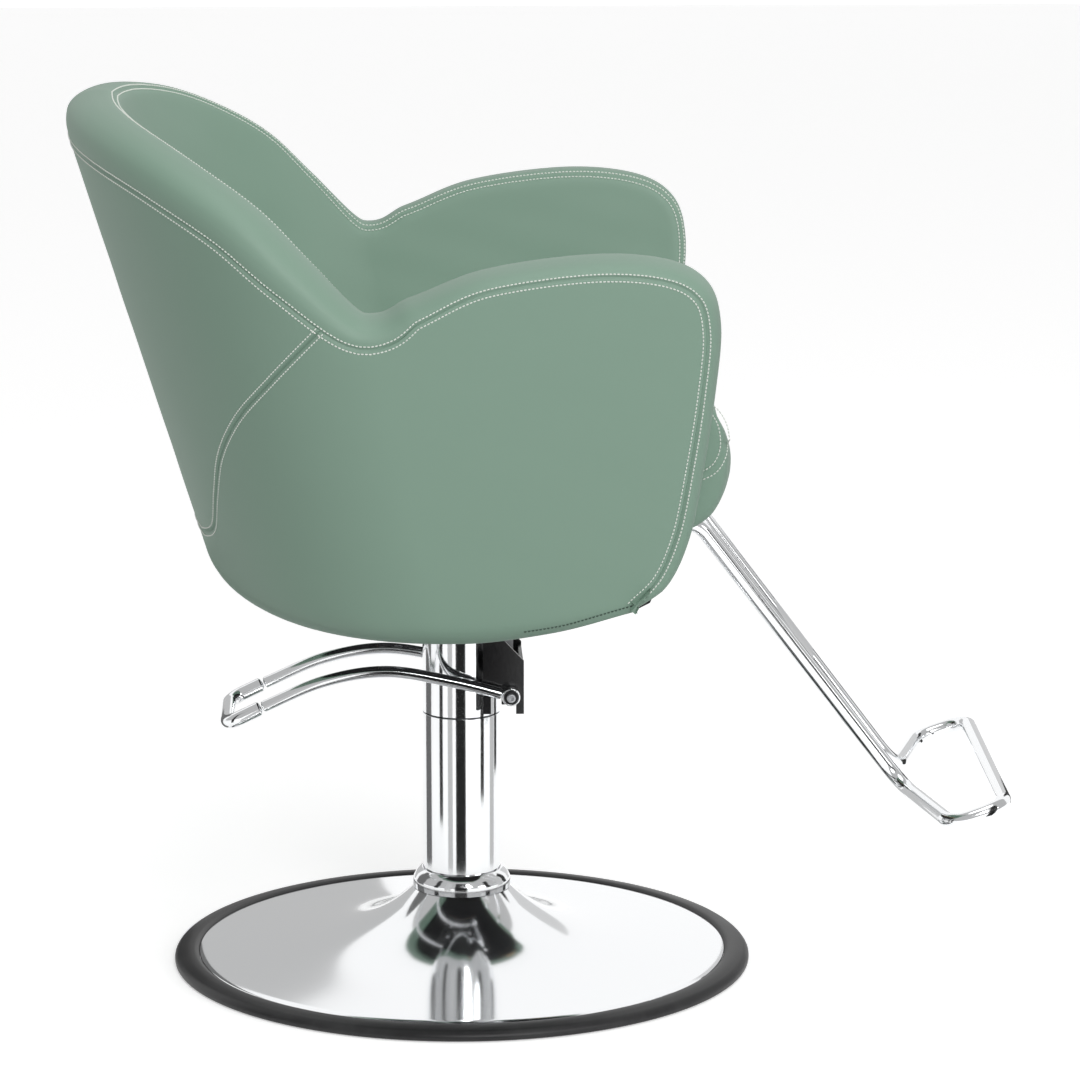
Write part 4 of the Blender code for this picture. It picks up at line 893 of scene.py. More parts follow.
def upholster(name, grid, centre, replaces, first=True, last=False, rise=0.0004):
    """Leather piece on a grid. Returns its grid and normals for the thread."""
    look = settings("chair_leather")
    normal = outward(grid, normals_of(grid), centre)
    seam, along = seam_fields(grid, first, last)
    shaped = sink_seams(grid, normal, seam, along, rise)
    points, faces = thick_sheet(shaped, normal, look.skin)
    piece = add_piece(name, points, faces, leather_finish(), "seat", replaces,
                      seam=np.concatenate([seam.ravel(), np.full(seam.size, 0.02)]))
    return shaped, normal


class ChairOutsidePanels(bpy.types.Operator):
    """Back panel and the two side panels, with their rows of thread"""
    bl_idname = "chair.outside_panels"
    bl_label = "Outside panels"

    def execute(self, context):
        thread = thread_finish("thread", settings("chair_thread").colour)
        edge_thread = thread_finish("edge_thread", settings("chair_thread").edge_colour)
        offset = settings("chair_thread").offset
        upholster("outside_back_panel", back_panel_grid(), MIDDLE, ["outer_back_pad"], True, True)
        _, outer, join, panel = tub_lines()
        lines = [sewn_row(on_wall(outer[:join + 1], 400), offset),
                 sewn_row(on_wall(outer[join:], 600), offset),
                 sewn_row(on_wall(panel, 400), offset, 0.85), sewn_row(on_wall(panel, 400), -offset, 0.85)]
        rows = [(points * (1.0, side, 1.0), ups * (1.0, side, 1.0))
                for points, ups in lines for side in (1.0, -1.0)]
        edge_rows = []
        for name, side in (("left", 1.0), ("right", -1.0)):
            flat = side_panel_grid() * (1.0, side, 1.0)
            flat[:, 0, 1] = side * 0.0004
            grid, normal = upholster(f"outside_panel_{name}", flat, MIDDLE, [f"outer_side_pad_{name}"])
            low = grid[:-8]
            points, ups = line_beside(low, normal[:-8], EDGE_ROW_OFFSET, True)
            ahead = points[:, 0] > EDGE_ROW_START
            edge_rows.append((points[ahead], ups[ahead]))
        stitches("panel_stitching", rows, thread, "seat")
        stitches("lower_edge_stitching", edge_rows, edge_thread, "seat")
        return {"FINISHED"}


class ChairRimBand(bpy.types.Operator):
    """Band over the top of the wall and down the arms' fronts, with its two rows of thread"""
    bl_idname = "chair.rim_band"
    bl_label = "Rim band"

    def execute(self, context):
        offset = settings("chair_thread").offset
        grid, normal = upholster("rim_band_leather", band_grid(), MIDDLE, ["rim_band"], True, True, 0.0003)
        rows = [line_beside(grid, normal, offset * 0.85), line_beside(grid, normal, offset * 0.85, True)]
        stitches("rim_stitching", rows, bpy.data.materials["thread"], "seat")
        return {"FINISHED"}


class ChairLining(bpy.types.Operator):
    """Inside of the tub in one piece, with the row of thread under the crest seam"""
    bl_idname = "chair.lining"
    bl_label = "Inside lining"

    def execute(self, context):
        look = settings("chair_leather")
        grid = lining_grid()
        normal = -outward(grid, normals_of(grid), MIDDLE)
        seam, along = seam_fields(grid)
        shaped = sink_seams(grid, normal, seam, along, 0.0010)
        points, faces = thick_sheet(shaped, normal, look.skin)
        piece = add_piece("inside_lining", points, faces, leather_finish(), "seat",
                          ["inner_back_pad", "inner_side_pad_left", "inner_side_pad_right"],
                          seam=np.concatenate([seam.ravel(), np.full(seam.size, 0.02)]))
        row = line_beside(shaped, normal, settings("chair_thread").offset)
        stitches("lining_stitching", [row], bpy.data.materials["thread"], "seat")
        return {"FINISHED"}


# ================================================================================================
# Seat cushion
# ================================================================================================

CUSHION_GAP = 0.006
SEAT_DISH = 0.016
DISH_FOOT, DISH_RISE = 0.555, 0.045
NOSE_START = 0.212
CUSHION_BACK_X = -0.215
CUSHION_MIDDLE = (0.0304, 0.5685)
CUSHION_FLOOR = 0.5000
CUSHION_SIDE = [(-0.215, 0.5000), (0.200, 0.5000), (0.2180, 0.5002), (0.2370, 0.5035), (0.2560, 0.5140),
                (0.2690, 0.5340), (0.2758, 0.5600), (0.2760, 0.5860), (0.2700, 0.6120), (0.2530, 0.6340),
                (0.2150, 0.6425), (0.1200, 0.6330), (0.0000, 0.6160), (-0.1400, 0.6050), (-0.215, 0.5980)]
# Seam round the side face, as (x, z), from the back along the top, round the nose and back.
CUSHION_SEAM = [(-0.150, 0.5930), (-0.020, 0.6060), (0.100, 0.6240), (0.180, 0.6345), (0.2220, 0.6362),
                (0.2480, 0.6310), (0.2640, 0.6160), (0.2700, 0.5970), (0.2685, 0.5810), (0.2595, 0.5670),
                (0.2440, 0.5590), (0.2200, 0.5550), (0.1700, 0.5535), (0.050, 0.5525), (-0.150, 0.5500)]


def cushion_point(x, z, s):
    """Place of an outline point (x, z) at a share s of the half width.

    The outline shrinks a little over the last fifth, its top is dished with one minus the square of
    the share, its nose draws back with the cube of the share, its back follows the tub's ellipse,
    and the half width follows the arms.
    """
    edge = np.maximum(0.0, (np.abs(s) - 0.8) / 0.2)
    shrink = 0.012 * edge ** 2
    z = z + (CUSHION_MIDDLE[1] - z) * 2 * shrink * (z > 0.53)
    x = x + (CUSHION_MIDDLE[0] - x) * shrink
    dish = (1.0 - s ** 2) * np.clip((z - DISH_FOOT) / DISH_RISE, 0.0, 1.0)
    z = z - SEAT_DISH * dish
    nose = np.clip((x - NOSE_START) / (NOSE_X - NOSE_START), 0.0, 1.0)
    front = np.clip((x - 0.1) / 0.15, 0.0, 1.0)
    x = x - NOSE_SWEEP * np.abs(s) ** 3 * nose - 0.5 * SEAT_DISH * dish * front
    level = CUSHION_FLOOR
    long_axis = bend_x(level) - back_x(level) - WALL_T - CUSHION_GAP
    back = np.maximum(bend_x(level) - long_axis * np.sqrt(1.0 - np.minimum(np.abs(s), 0.98) ** 2),
                      CUSHION_BACK_X)
    x = np.where(x < 0.0, x * back / CUSHION_BACK_X, x)
    taper = ARM_TAPER * (np.maximum(x - bend_x(z), 0.0) / (NOSE_X - BEND_X)) ** 2
    half = side_y(z) - WALL_T - CUSHION_GAP - taper
    return np.stack([x, s * half, z], axis=-1)


def cushion_mesh():
    """Closed cushion: rings of its side outline across the seat, their corners rounded at the sides."""
    outline = smooth_path(CUSHION_SIDE[2:-1], 6)
    back = np.linspace(CUSHION_SIDE[-1], CUSHION_SIDE[0], 8)
    floor = np.linspace(CUSHION_SIDE[0], CUSHION_SIDE[1], 22)[1:]
    outline = np.vstack([floor, outline, back[:-1]])
    middle = np.array(CUSHION_MIDDLE)
    share = np.sin(np.linspace(-1.0, 1.0, 61) * math.pi / 2)
    face = np.array([0.97, 0.88, 0.70, 0.45, 0.2])
    rings = []
    for s in share:
        corner = np.clip((abs(s) - 0.965) / 0.035, 0.0, 1.0)
        inset = 0.008 * (1.0 - np.sqrt(1.0 - corner ** 2)) + 0.0035 * (outline[:, 1:] > 0.503)
        pull = middle - outline
        pull /= np.linalg.norm(pull, axis=1)[:, None]
        shaped = outline + pull * inset
        rings.append(cushion_point(shaped[:, 0], shaped[:, 1], s))
        last = shaped
    ends = [middle + (last - middle) * k for k in face]
    left = [cushion_point(e[:, 0], e[:, 1], 1.0) for e in ends]
    right = [p * (1.0, -1.0, 1.0) for p in left]
    grid = np.array(right[::-1] + rings + left)
    faces = grid_faces(grid.shape[0], grid.shape[1], close_columns=True).tolist()
    count = grid.shape[1]
    faces += [list(range(count)), list(range((len(grid) - 1) * count, len(grid) * count))]
    return grid.reshape(-1, 3), faces


def read_points(mesh):
    """Points of a mesh as rows of x, y and z."""
    flat = np.empty(len(mesh.vertices) * 3, np.float32)
    mesh.vertices.foreach_get("co", flat)
    return flat.reshape(-1, 3).astype(float)


def cushion_seams(side):
    """The seam round a side face, just outside the face."""
    line = smooth_path(CUSHION_SEAM, 16)
    return cushion_point(line[:, 0], line[:, 1], np.full(len(line), float(side)))


def nearest_distance(points, line, chunk=4000):
    """Distance of each point from the nearest point of a line."""
    parts = [np.linalg.norm(points[i:i + chunk, None] - line[None], axis=-1).min(axis=1)
             for i in range(0, len(points), chunk)]
    return np.concatenate(parts)


def swell(piece, seam):
    """Fill the cushion: cloth held at its seams and its floor, blown up, its movement capped."""
    look = settings("chair_cushion")
    rest = read_points(piece.data)
    held = piece.vertex_groups.new(name="held")
    floor = rest[:, 2] < CUSHION_FLOOR + 0.012
    back = rest[:, 0] < CUSHION_BACK_X + 0.02
    fixed = np.flatnonzero((seam < 0.004) | (floor & (rest[:, 0] < 0.19)) | back)
    held.add(fixed.tolist(), 1.0, "REPLACE")
    cloth = piece.modifiers.new("filling", "CLOTH")
    cloth.settings.vertex_group_mass = "held"
    cloth.settings.use_pressure = True
    cloth.settings.uniform_pressure_force = look.pressure
    cloth.settings.effector_weights.gravity = 0.0
    cloth.settings.quality = 5
    cloth.settings.tension_stiffness = 18.0
    cloth.settings.compression_stiffness = 18.0
    cloth.settings.bending_stiffness = 1.2
    cloth.point_cache.frame_start = 1
    cloth.point_cache.frame_end = look.frames
    scene = bpy.context.scene
    for number in range(1, look.frames + 1):
        scene.frame_set(number)
    shown = piece.evaluated_get(bpy.context.evaluated_depsgraph_get())
    swollen = read_points(shown.data)
    piece.modifiers.remove(cloth)
    piece.vertex_groups.clear()
    scene.frame_set(1)
    cap = np.array([look.swell * 0.6, CUSHION_GAP * 0.45, look.swell])
    move = cap * np.tanh((swollen - rest) / cap)
    piece.data.vertices.foreach_set("co", (rest + move).astype(np.float32).ravel())
    piece.data.update()


class ChairCushion(bpy.types.Operator):
    """Loose seat cushion: remeshed, filled as cloth, smoothed, then seamed and stitched"""
    bl_idname = "chair.cushion"
    bl_label = "Seat cushion"

    def execute(self, context):
        look = settings("chair_cushion")
        points, faces = cushion_mesh()
        piece = add_piece("seat_cushion_leather", points, faces, leather_finish(), "seat",
                          ["seat_cushion"])
        self.modify(context, piece, "REMESH", mode="VOXEL", voxel_size=look.voxel)
        lines = np.concatenate([cushion_seams(1), cushion_seams(-1)])
        points = read_points(piece.data)
        swell(piece, nearest_distance(points, lines))
        self.modify(context, piece, "SUBSURF", levels=1, render_levels=1)
        self.modify(context, piece, "SMOOTH", factor=0.5, iterations=3)
        points = read_points(piece.data)
        seam = nearest_distance(points, lines)
        store = piece.data.attributes.new("seam", "FLOAT", "POINT")
        store.data.foreach_set("value", seam.astype(np.float32))
        normal = np.empty(len(points) * 3, np.float32)
        piece.data.vertices.foreach_get("normal", normal)
        dip = settings("chair_leather").seam_dip * np.exp(-(seam / 0.0032) ** 2)
        points -= normal.reshape(-1, 3) * dip[:, None]
        piece.data.vertices.foreach_set("co", points.astype(np.float32).ravel())
        piece.data.shade_smooth()
        rows = []
        for side in (1, -1):
            line = cushion_seams(side)
            flat = np.array([1.0, 0.0, 1.0])
            run = np.gradient(line, axis=0) * flat
            run /= np.linalg.norm(run, axis=1)[:, None]
            across = np.cross(run, (0.0, 1.0, 0.0))
            for way in (1.0, -1.0):
                guide = line + across * way * settings("chair_thread").offset + (0.0, side * 0.01, 0.0)
                rows.append(self.lay_on(piece, guide, side))
        stitches("cushion_stitching", rows, bpy.data.materials["thread"], "seat")
        return {"FINISHED"}

    @staticmethod
    def modify(context, piece, kind, **options):
        """Add a modifier and apply it."""
        modifier = piece.modifiers.new(kind.lower(), kind)
        for key, value in options.items():
            setattr(modifier, key, value)
        shown = piece.evaluated_get(context.evaluated_depsgraph_get())
        fresh = bpy.data.meshes.new_from_object(shown)
        old = piece.data
        piece.modifiers.clear()
        piece.data = fresh
        bpy.data.meshes.remove(old)
        fresh.name = piece.name

    @staticmethod
    def lay_on(piece, guide, side):
        """Line projected onto the cushion along Y, with the side's normal. A point that misses the
        cushion stays where the guide had it."""
        mesh = bpy.data.meshes.new("guide")
        mesh.from_pydata(guide.tolist(), [(i, i + 1) for i in range(len(guide) - 1)], [])
        helper = bpy.data.objects.new("guide", mesh)
        bpy.context.scene.collection.objects.link(helper)
        wrap = helper.modifiers.new("lay", "SHRINKWRAP")
        wrap.target = piece
        wrap.wrap_method = "PROJECT"
        wrap.use_project_y = True
        wrap.use_positive_direction = side < 0
        wrap.use_negative_direction = side > 0
        laid = read_points(helper.evaluated_get(bpy.context.evaluated_depsgraph_get()).data)
        bpy.data.objects.remove(helper)
        kernel = np.ones(9) / 9.0
        wide = np.pad(laid[:, 1], 4, mode="edge")
        laid[:, 1] = np.convolve(wide, kernel, mode="valid")
        up = np.tile((0.0, float(side), 0.0), (len(laid), 1))
        return laid, up


class ChairFrontBorder(bpy.types.Operator):
    """Leather border between the arms, under the cushion's nose"""
    bl_idname = "chair.front_border"
    bl_label = "Front border"

    def execute(self, context):
        low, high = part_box("front_apron")
        half = high.y
        y = np.linspace(-half, half, 90)
        swept = APRON_SWEEP * np.clip((np.abs(y) - 0.100) / (half - 0.100), 0.0, 1.0) ** 2
        turn = np.linspace(0.0, 2.0 * math.pi, 40, endpoint=False)
        tall = (high.z - low.z) / 2
        up = np.sign(np.sin(turn)) * np.abs(np.sin(turn)) ** 0.35 * tall
        out = np.sign(np.cos(turn)) * np.abs(np.cos(turn)) ** 0.5 * 0.0052
        grid = np.stack([(high.x - 0.0050 - swept)[:, None] + out[None],
                         np.broadcast_to(y[:, None], (90, 40)),
                         np.broadcast_to((low.z + tall) + up[None], (90, 40))], axis=-1)
        faces = grid_faces(90, 40, close_columns=True).tolist()
        faces += [list(range(40)), list(range(89 * 40, 90 * 40))]
        piece = add_piece("front_border", grid.reshape(-1, 3), faces, leather_finish(), "seat",
                          ["front_apron"], seam=np.full(90 * 40, 0.02))
        return {"FINISHED"}


# ================================================================================================
# Base and column
# ================================================================================================

def cover_profile():
    """Top of the chrome cover: a low straight cone plus a fifth-power flare up to the neck."""
    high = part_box("base_cover")[1]
    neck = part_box("column_collar")[1].x
    radius = np.concatenate([np.linspace(high.x, 0.12, 34), np.linspace(0.12, neck, 40)[1:]])
    share = np.clip((high.x - radius) / (high.x - neck), 0.0, 1.0)
    height = 0.0125 + (0.077 - 0.0125) * (0.35 * share + 0.65 * share ** 5)
    return np.stack([radius, height], axis=-1)


class ChairBase(bpy.types.Operator):
    """Disc base: chrome cover, rubber rim and collar"""
    bl_idname = "chair.base"
    bl_label = "Base"

    def execute(self, context):
        chrome = chrome_finish()
        top = cover_profile()
        top[0] += (-0.0008, -0.0006)
        inner = 0.0412
        outline = np.concatenate([[(top[0, 0] + 0.0008, top[0, 1] - 0.0012)], top, [(inner, 0.077)],
                                  [(inner, 0.0755)], top[::-1] - (0.0, 0.0018)])
        turned("chrome_cover", outline, chrome, "base", ["base_cover"], segments=200)
        rubber = rubber_finish()
        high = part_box("base_rim")[1]
        outer, inner = high.x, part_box("base_cover")[1].x + 0.0003
        rim = soft_outline([(inner, 0.0), (outer - 0.006, 0.0), (outer - 0.0005, 0.0016), (outer, 0.0062),
                            (outer - 0.0040, 0.0112), (outer - 0.0150, high.z), (inner + 0.0040, high.z),
                            (inner, 0.0118)],
                           [0.0, 0.0015, 0.0016, 0.0026, 0.0034, 0.0040, 0.0022, 0.0010])
        turned("rubber_rim", rim, rubber, "base", ["base_rim"], segments=200)
        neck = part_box("column_collar")
        edge = neck[1].x
        bottom = neck[0].z
        collar = soft_outline([(0.0403, bottom), (edge, bottom), (edge, bottom + 0.0100),
                               (edge - 0.0035, bottom + 0.0165), (0.0425, neck[1].z), (0.0403, neck[1].z)],
                              [0.0, 0.0008, 0.0016, 0.0030, 0.0010, 0.0])
        turned("chrome_collar", collar, chrome, "base", ["column_collar"])
        for name in ("base_plate", "pump_cylinder", "gland_ring", "flange_bolt_1", "flange_bolt_2",
                     "flange_bolt_3", "flange_bolt_4"):
            dress(name, steel_finish())
        return {"FINISHED"}


def steel_finish():
    """The one brushed steel of the parts inside, made at its first use."""
    return bpy.data.materials.get("steel") or brushed_finish("steel", (0.50, 0.51, 0.53), 0.28,
                                                             (1.0, 12.0, 1.0))


def dress(name, material):
    """Give a carried-over node its finish."""
    slots = NODES[name].material_slots
    slots[0].material = material


class ChairColumn(bpy.types.Operator):
    """Chrome sleeves, ram, head casting and the parts inside them"""
    bl_idname = "chair.column"
    bl_label = "Column"

    def execute(self, context):
        chrome = chrome_finish()
        low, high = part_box("lower_sleeve")
        outer = high.x
        outline = soft_outline([(outer - 0.0025, low.z), (outer, low.z), (outer, high.z),
                                (outer - 0.0025, high.z)], [0.0, 0.0007, 0.0007, 0.0])
        turned("chrome_sleeve_lower", outline, chrome, "base", ["lower_sleeve"])
        self.windowed_sleeve(chrome)
        bottom, top = (p.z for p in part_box("ram"))
        shaft = soft_outline([(0.0, bottom), (0.028, bottom), (0.028, top), (0.0105, top),
                              (0.0105, top - 0.020), (0.0056, top - 0.020), (0.0056, top - 0.072),
                              (0.0, top - 0.072)],
                             [0.0, 0.0010, 0.0008, 0.0003, 0.0, 0.0, 0.0, 0.0])
        turned("chrome_ram", shaft, chrome, "ram", ["ram"], segments=96)
        for name in ("thrust_washer", "plunger_spring", "plunger_pin", "return_spring", "head_bolt_1",
                     "head_bolt_2", "head_bolt_3", "head_bolt_4"):
            dress(name, steel_finish())
        for name in ("head_casting", "seat_plate"):
            dress(name, paint_finish())
            soften(name, 0.0007)
        dress("ram_seal", rubber_finish())
        dress("axle_bush", chrome)
        for name in ("front_rail", "rear_rail", "side_rail_left", "side_rail_right", "seat_board",
                     "seat_deck", "tub_shell"):
            dress(name, plywood_finish())
        dress("bottom_cover", lining_finish())
        return {"FINISHED"}

    @staticmethod
    def windowed_sleeve(chrome):
        """Sleeve on the head: rings of an outer and an inner wall, open where the rocker reaches in."""
        low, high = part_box("upper_sleeve")
        outer, inner = high.x, high.x - 0.0025
        half = math.asin(0.0095 / outer)
        turn = np.concatenate([np.linspace(-half, half, 9), np.linspace(half, 2 * math.pi - half, 121)[1:-1]])
        level = np.array([low.z, low.z + 0.0006, 0.283, 0.300, 0.330, 0.372, high.z - 0.0006, high.z])
        inset = np.array([0.0006, 0.0, 0.0, 0.0, 0.0, 0.0, 0.0, 0.0006])
        rows, columns = len(level), len(turn)
        walls = []
        for radius in (outer - inset, inner + 0.0 * inset):
            walls.append(np.stack([radius[:, None] * np.cos(turn), radius[:, None] * np.sin(turn),
                                   np.broadcast_to(level[:, None], (rows, columns))], axis=-1))
        quads = grid_faces(rows, columns, close_columns=True).reshape(rows - 1, columns, 4)
        keep = np.ones((rows - 1, columns), bool)
        keep[2:5, :8] = False
        size = rows * columns
        faces = [quads[keep], quads[keep][:, ::-1] + size]
        index = np.arange(size).reshape(rows, columns)
        loops = [index[0], index[-1]]
        border = np.concatenate([index[2, :9], index[3:6, 8], index[5, 7::-1], index[4:2:-1, 0]])
        for loop in loops + [border]:
            ahead = np.roll(loop, -1)
            faces.append(np.stack([loop, ahead, ahead + size, loop + size], axis=-1))
        add_piece("chrome_sleeve_upper", np.concatenate(walls).reshape(-1, 3), np.concatenate(faces), chrome,
                  "seat", ["upper_sleeve"])


def soften(name, width, segments=2):
    """Round the hard edges of a carried-over node."""
    node = NODES[name]
    bevel = node.modifiers.new("soft_edges", "BEVEL")
    bevel.width = width
    bevel.segments = segments
    bevel.limit_method = "ANGLE"
    bevel.angle_limit = math.radians(40)
    bevel.harden_normals = True


# ================================================================================================
# Lever and footrest
# ================================================================================================

LEVER_X, LEVER_Z, LEVER_Y = 0.050, 0.292, 0.052
LEVER_LINE = [(LEVER_X, LEVER_Z), (-0.011, 0.3080), (-0.078, 0.3190), (-0.142, 0.3090), (-0.205, 0.2825)]
LEVER_END = (-0.2405, 0.2655)
LEG_Y, LEG_Y_LOW = 0.055, 0.034
LEG_CORNERS = [(0.1946, 0.474), (0.240, 0.474), (0.455, 0.190)]
LOOP_OUTER, BAR_CORNER = (0.492, 0.176, 0.186), (0.546, 0.176, 0.205)


class ChairLever(bpy.types.Operator):
    """Pump lever: two bent rods, the grip that joins them, the hubs and their bolts"""
    bl_idname = "chair.lever"
    bl_label = "Lever"

    def execute(self, context):
        chrome = chrome_finish()
        for name, side in (("left", 1.0), ("right", -1.0)):
            line = smooth_path([(x, side * LEVER_Y, z) for x, z in LEVER_LINE], 12)
            line = even_points(line, 60)[2:]
            tube(f"rod_{name}", line, 0.006, chrome, "lever", (0.0, 1.0, 0.0),
                 replaces=[f"lever_rod_{name}"])
            self.hub(name, side)
        start, end = np.array(LEVER_LINE[-1]), np.array(LEVER_END)
        start = start + (end - start) / np.linalg.norm(end - start) * 0.0006
        corners = [(start[0], LEVER_Y, start[1]), (end[0], LEVER_Y, end[1]), (end[0], -LEVER_Y, end[1]),
                   (start[0], -LEVER_Y, start[1])]
        tube("lever_grip", rounded_path(corners, [0.016, 0.016]), 0.0075, chrome, "lever",
             replaces=["lever_handle"])
        for name in ("lever_axle", "pump_rocker"):
            dress(name, steel_finish())
        dress("lever_bracket", paint_finish())
        soften("lever_bracket", 0.0008)
        return {"FINISHED"}

    @staticmethod
    def hub(name, side):
        """Hub ring, recessed rubber washer and a socket bolt, turned about the lever's axle."""
        centre = (LEVER_X, 0.0, LEVER_Z)
        inner, outer = side * 0.046, side * 0.058
        ring = soft_outline([(0.0053, inner), (0.0095, inner), (0.0095, outer), (0.0078, outer),
                             (0.0072, outer - side * 0.0008), (0.0053, outer - side * 0.0008)],
                            [0.0, 0.0010, 0.0012, 0.0004, 0.0003, 0.0])
        turned(f"hub_{name}", ring, chrome_finish(), "lever", centre=centre, axis="Y", segments=64)
        face = outer + side * 0.0003
        washer = soft_outline([(0.0046, face), (0.0072, face), (0.0072, face + side * 0.0010),
                               (0.0046, face + side * 0.0010)], [0.0, 0.0, 0.0004, 0.0])
        turned(f"washer_{name}", washer, rubber_finish(), "lever", [f"hub_washer_{name}"],
               centre=centre, axis="Y", segments=64)
        seat = face + side * 0.0013
        top = seat + side * 0.0030
        bolt = soft_outline([(0.0, seat), (0.0045, seat), (0.0045, top), (0.0024, top),
                             (0.0024, top - side * 0.0020), (0.0, top - side * 0.0020)],
                            [0.0, 0.0, 0.0008, 0.0003, 0.0, 0.0])
        turned(f"bolt_{name}", bolt, steel_finish(), "lever", [f"hub_bolt_{name}"],
               centre=centre, axis="Y", segments=36)


class ChairFootrest(bpy.types.Operator):
    """Footrest: one bent chrome tube, with its plate and bolts"""
    bl_idname = "chair.footrest"
    bl_label = "Footrest"

    def execute(self, context):
        heights = [(x, LEG_Y, z) for x, z in LEG_CORNERS[:2]]
        heights += [(LEG_CORNERS[2][0], LEG_Y_LOW, LEG_CORNERS[2][1]), LOOP_OUTER, BAR_CORNER]
        corners = heights + [(x, -y, z) for x, y, z in reversed(heights)]
        radii = [0.030, 0.034, 0.026, 0.026]
        path = rounded_path(corners, radii + radii[::-1], steps=12)
        tube("chrome_loop", path, 0.008, chrome_finish(), "seat", replaces=["footrest_tube"])
        for name in ("footrest_bracket", "footrest_bolt_1", "footrest_bolt_2", "footrest_bolt_3",
                     "footrest_bolt_4"):
            dress(name, steel_finish())
        return {"FINISHED"}


# ================================================================================================
# Stage
# ================================================================================================

def stage_material(name, colour, roughness=0.6, glow=0.0):
    made = bpy.data.materials.new(name)
    made.use_nodes = True
    shader = made.node_tree.nodes["Principled BSDF"]
    shader.inputs["Base Color"].default_value = (*colour, 1.0)
    shader.inputs["Roughness"].default_value = roughness
    if glow:
        shader.inputs["Emission Color"].default_value = (1.0, 1.0, 1.0, 1.0)
        shader.inputs["Emission Strength"].default_value = glow
    return made


def plane(name, centre, aim, width, height, material):
    """Upright card that faces a point."""
    mesh = bpy.data.meshes.new(name)
    w, h = width / 2, height / 2
    mesh.from_pydata([(-w, -h, 0), (w, -h, 0), (w, h, 0), (-w, h, 0)], [], [(0, 1, 2, 3)])
    mesh.materials.append(material)
    card = bpy.data.objects.new(name, mesh)
    card.location = centre
    card.rotation_euler = (Vector(centre) - Vector(aim)).to_track_quat("Z", "Y").to_euler()
    bpy.context.scene.collection.objects.link(card)
    return card


# Upright cards that only the metal mirrors: name, degrees round from the camera's side towards +X,
# distance, width, height and brightness.
CARDS = [
    ("card_front", -3.0, 0.345, 0.17, 0.385, 0.01),
    ("card_front_left", -33.0, 0.360, 0.09, 0.385, 0.55),
    ("card_left", -112.0, 0.370, 0.19, 0.385, 0.14),
    ("card_right", 97.0, 0.370, 0.12, 0.385, 0.55),
    ("card_rear_left", -160.0, 1.80, 1.10, 1.00, 0.52),
    ("card_rear_right", 150.0, 1.90, 0.70, 1.00, 0.66),
    ("card_legs", 62.0, 0.78, 0.16, 0.70, 0.01),
    ("card_legs_far", 118.0, 0.90, 0.22, 0.70, 0.02),
    ("card_lever", -62.0, 0.62, 0.12, 0.70, 0.02),
]


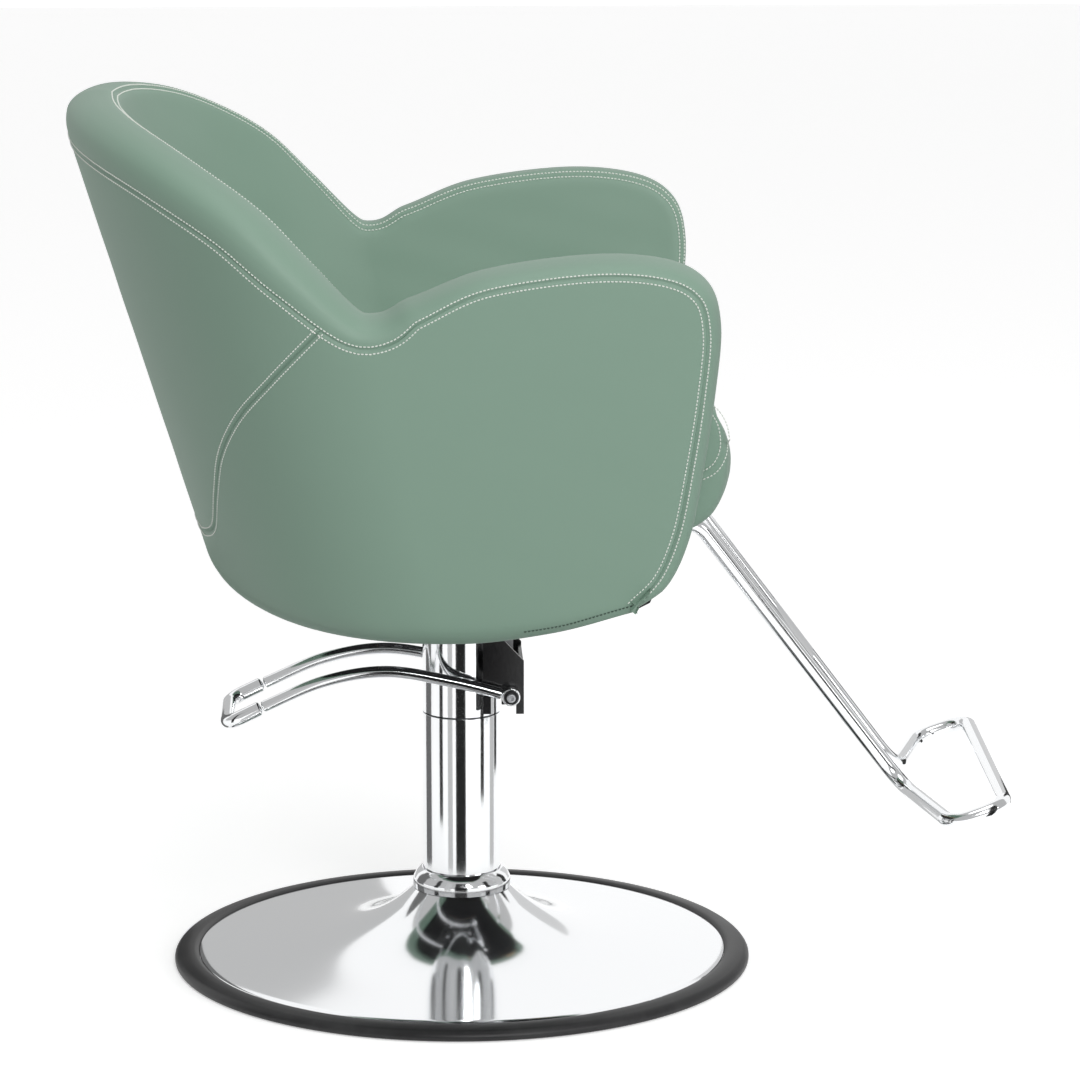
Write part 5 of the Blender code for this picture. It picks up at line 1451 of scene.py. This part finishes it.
class ChairStage(bpy.types.Operator):
    """Camera, pale floor, soft lights and the dark cards that the chrome mirrors"""
    bl_idname = "chair.stage"
    bl_label = "Stage"

    def execute(self, context):
        look = settings("chair_stage")
        scene = context.scene
        data = bpy.data.cameras.new("camera")
        data.lens = 172.4
        data.sensor_width = 36.0
        camera = bpy.data.objects.new("camera", data)
        camera.location = (-0.0974, -5.1991, 1.569)
        aim = Vector((0.0815, -0.0018, 0.4448))
        camera.rotation_euler = (aim - camera.location).to_track_quat("-Z", "Y").to_euler()
        scene.collection.objects.link(camera)
        scene.camera = camera
        floor = plane("floor", (0.0, 0.0, 0.0), (0.0, 0.0, -1.0), 40.0, 40.0,
                      stage_material("floor", look.floor, 0.8, 0.42))
        lights = [
            self.area("key", (0.9, -4.4, 2.7), (0.0, 0.0, 0.5), 2.0, look.key),
            self.area("fill", (3.2, -2.6, 1.6), (0.1, 0.0, 0.45), 1.8, look.fill),
            self.area("top", (0.2, -0.6, 3.4), (0.0, 0.0, 0.4), 2.0, look.top),
        ]
        backdrop = plane("backdrop", (0.0, 9.0, 4.0), (0.0, 0.0, 4.0), 60.0, 24.0,
                         stage_material("backdrop", (0.0, 0.0, 0.0), 1.0, 1.05))
        backdrop.visible_diffuse = False
        backdrop.visible_shadow = False
        floor.visible_diffuse = False
        cards = []
        for name, angle, reach, width, tall, glow in CARDS:
            turn = math.radians(angle)
            place = (reach * math.sin(turn), -reach * math.cos(turn), tall / 2)
            cards.append(plane(name, place, (0.0, 0.0, tall / 2), width, tall,
                               stage_material(name, (0.0, 0.0, 0.0), 1.0, glow)))
        for card in cards:
            card.visible_camera = False
            card.visible_diffuse = False
            card.visible_shadow = False
        world = bpy.data.worlds.new("room")
        world.use_nodes = True
        sky = world.node_tree.nodes["Background"]
        sky.inputs["Color"].default_value = (1.0, 1.0, 1.0, 1.0)
        sky.inputs["Strength"].default_value = look.room
        scene.world = world
        scene.view_settings.view_transform = "Standard"
        return {"FINISHED"}

    @staticmethod
    def area(name, place, aim, size, power):
        data = bpy.data.lights.new(name, "AREA")
        data.shape = "DISK"
        data.size = size
        data.energy = power
        light = bpy.data.objects.new(name, data)
        light.location = place
        light.rotation_euler = (Vector(aim) - Vector(place)).to_track_quat("-Z", "Y").to_euler()
        bpy.context.scene.collection.objects.link(light)
        return light


# ================================================================================================
# Panel and registration
# ================================================================================================

GROUPS = {"chair_leather": LeatherSettings, "chair_thread": ThreadSettings, "chair_cushion": CushionSettings,
          "chair_metal": MetalSettings, "chair_stage": StageSettings}
OPERATORS = [ChairOutsidePanels, ChairRimBand, ChairLining, ChairCushion, ChairFrontBorder, ChairBase,
             ChairColumn, ChairLever, ChairFootrest, ChairStage]


class ChairPanel(bpy.types.Panel):
    """Settings and operators of the chair"""
    bl_idname = "VIEW3D_PT_chair"
    bl_label = "Salon chair"
    bl_space_type = "VIEW_3D"
    bl_region_type = "UI"
    bl_category = "Chair"

    def draw(self, context):
        for name in GROUPS:
            group = getattr(context.scene, name)
            column = self.layout.box().column()
            for field in group.__annotations__:
                column.prop(group, field)
        for operator in OPERATORS:
            self.layout.operator(operator.bl_idname)


def register():
    for made in [*GROUPS.values(), *OPERATORS, ChairPanel]:
        bpy.utils.register_class(made)
    for name, group in GROUPS.items():
        setattr(bpy.types.Scene, name, PointerProperty(type=group))


def unregister():
    for name in GROUPS:
        delattr(bpy.types.Scene, name)
    for made in reversed([*GROUPS.values(), *OPERATORS, ChairPanel]):
        bpy.utils.unregister_class(made)


def main():
    register()
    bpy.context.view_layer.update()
    for operator in OPERATORS:
        group, name = operator.bl_idname.split(".")
        getattr(getattr(bpy.ops, group), name)()


if __name__ == "__main__":
    main()
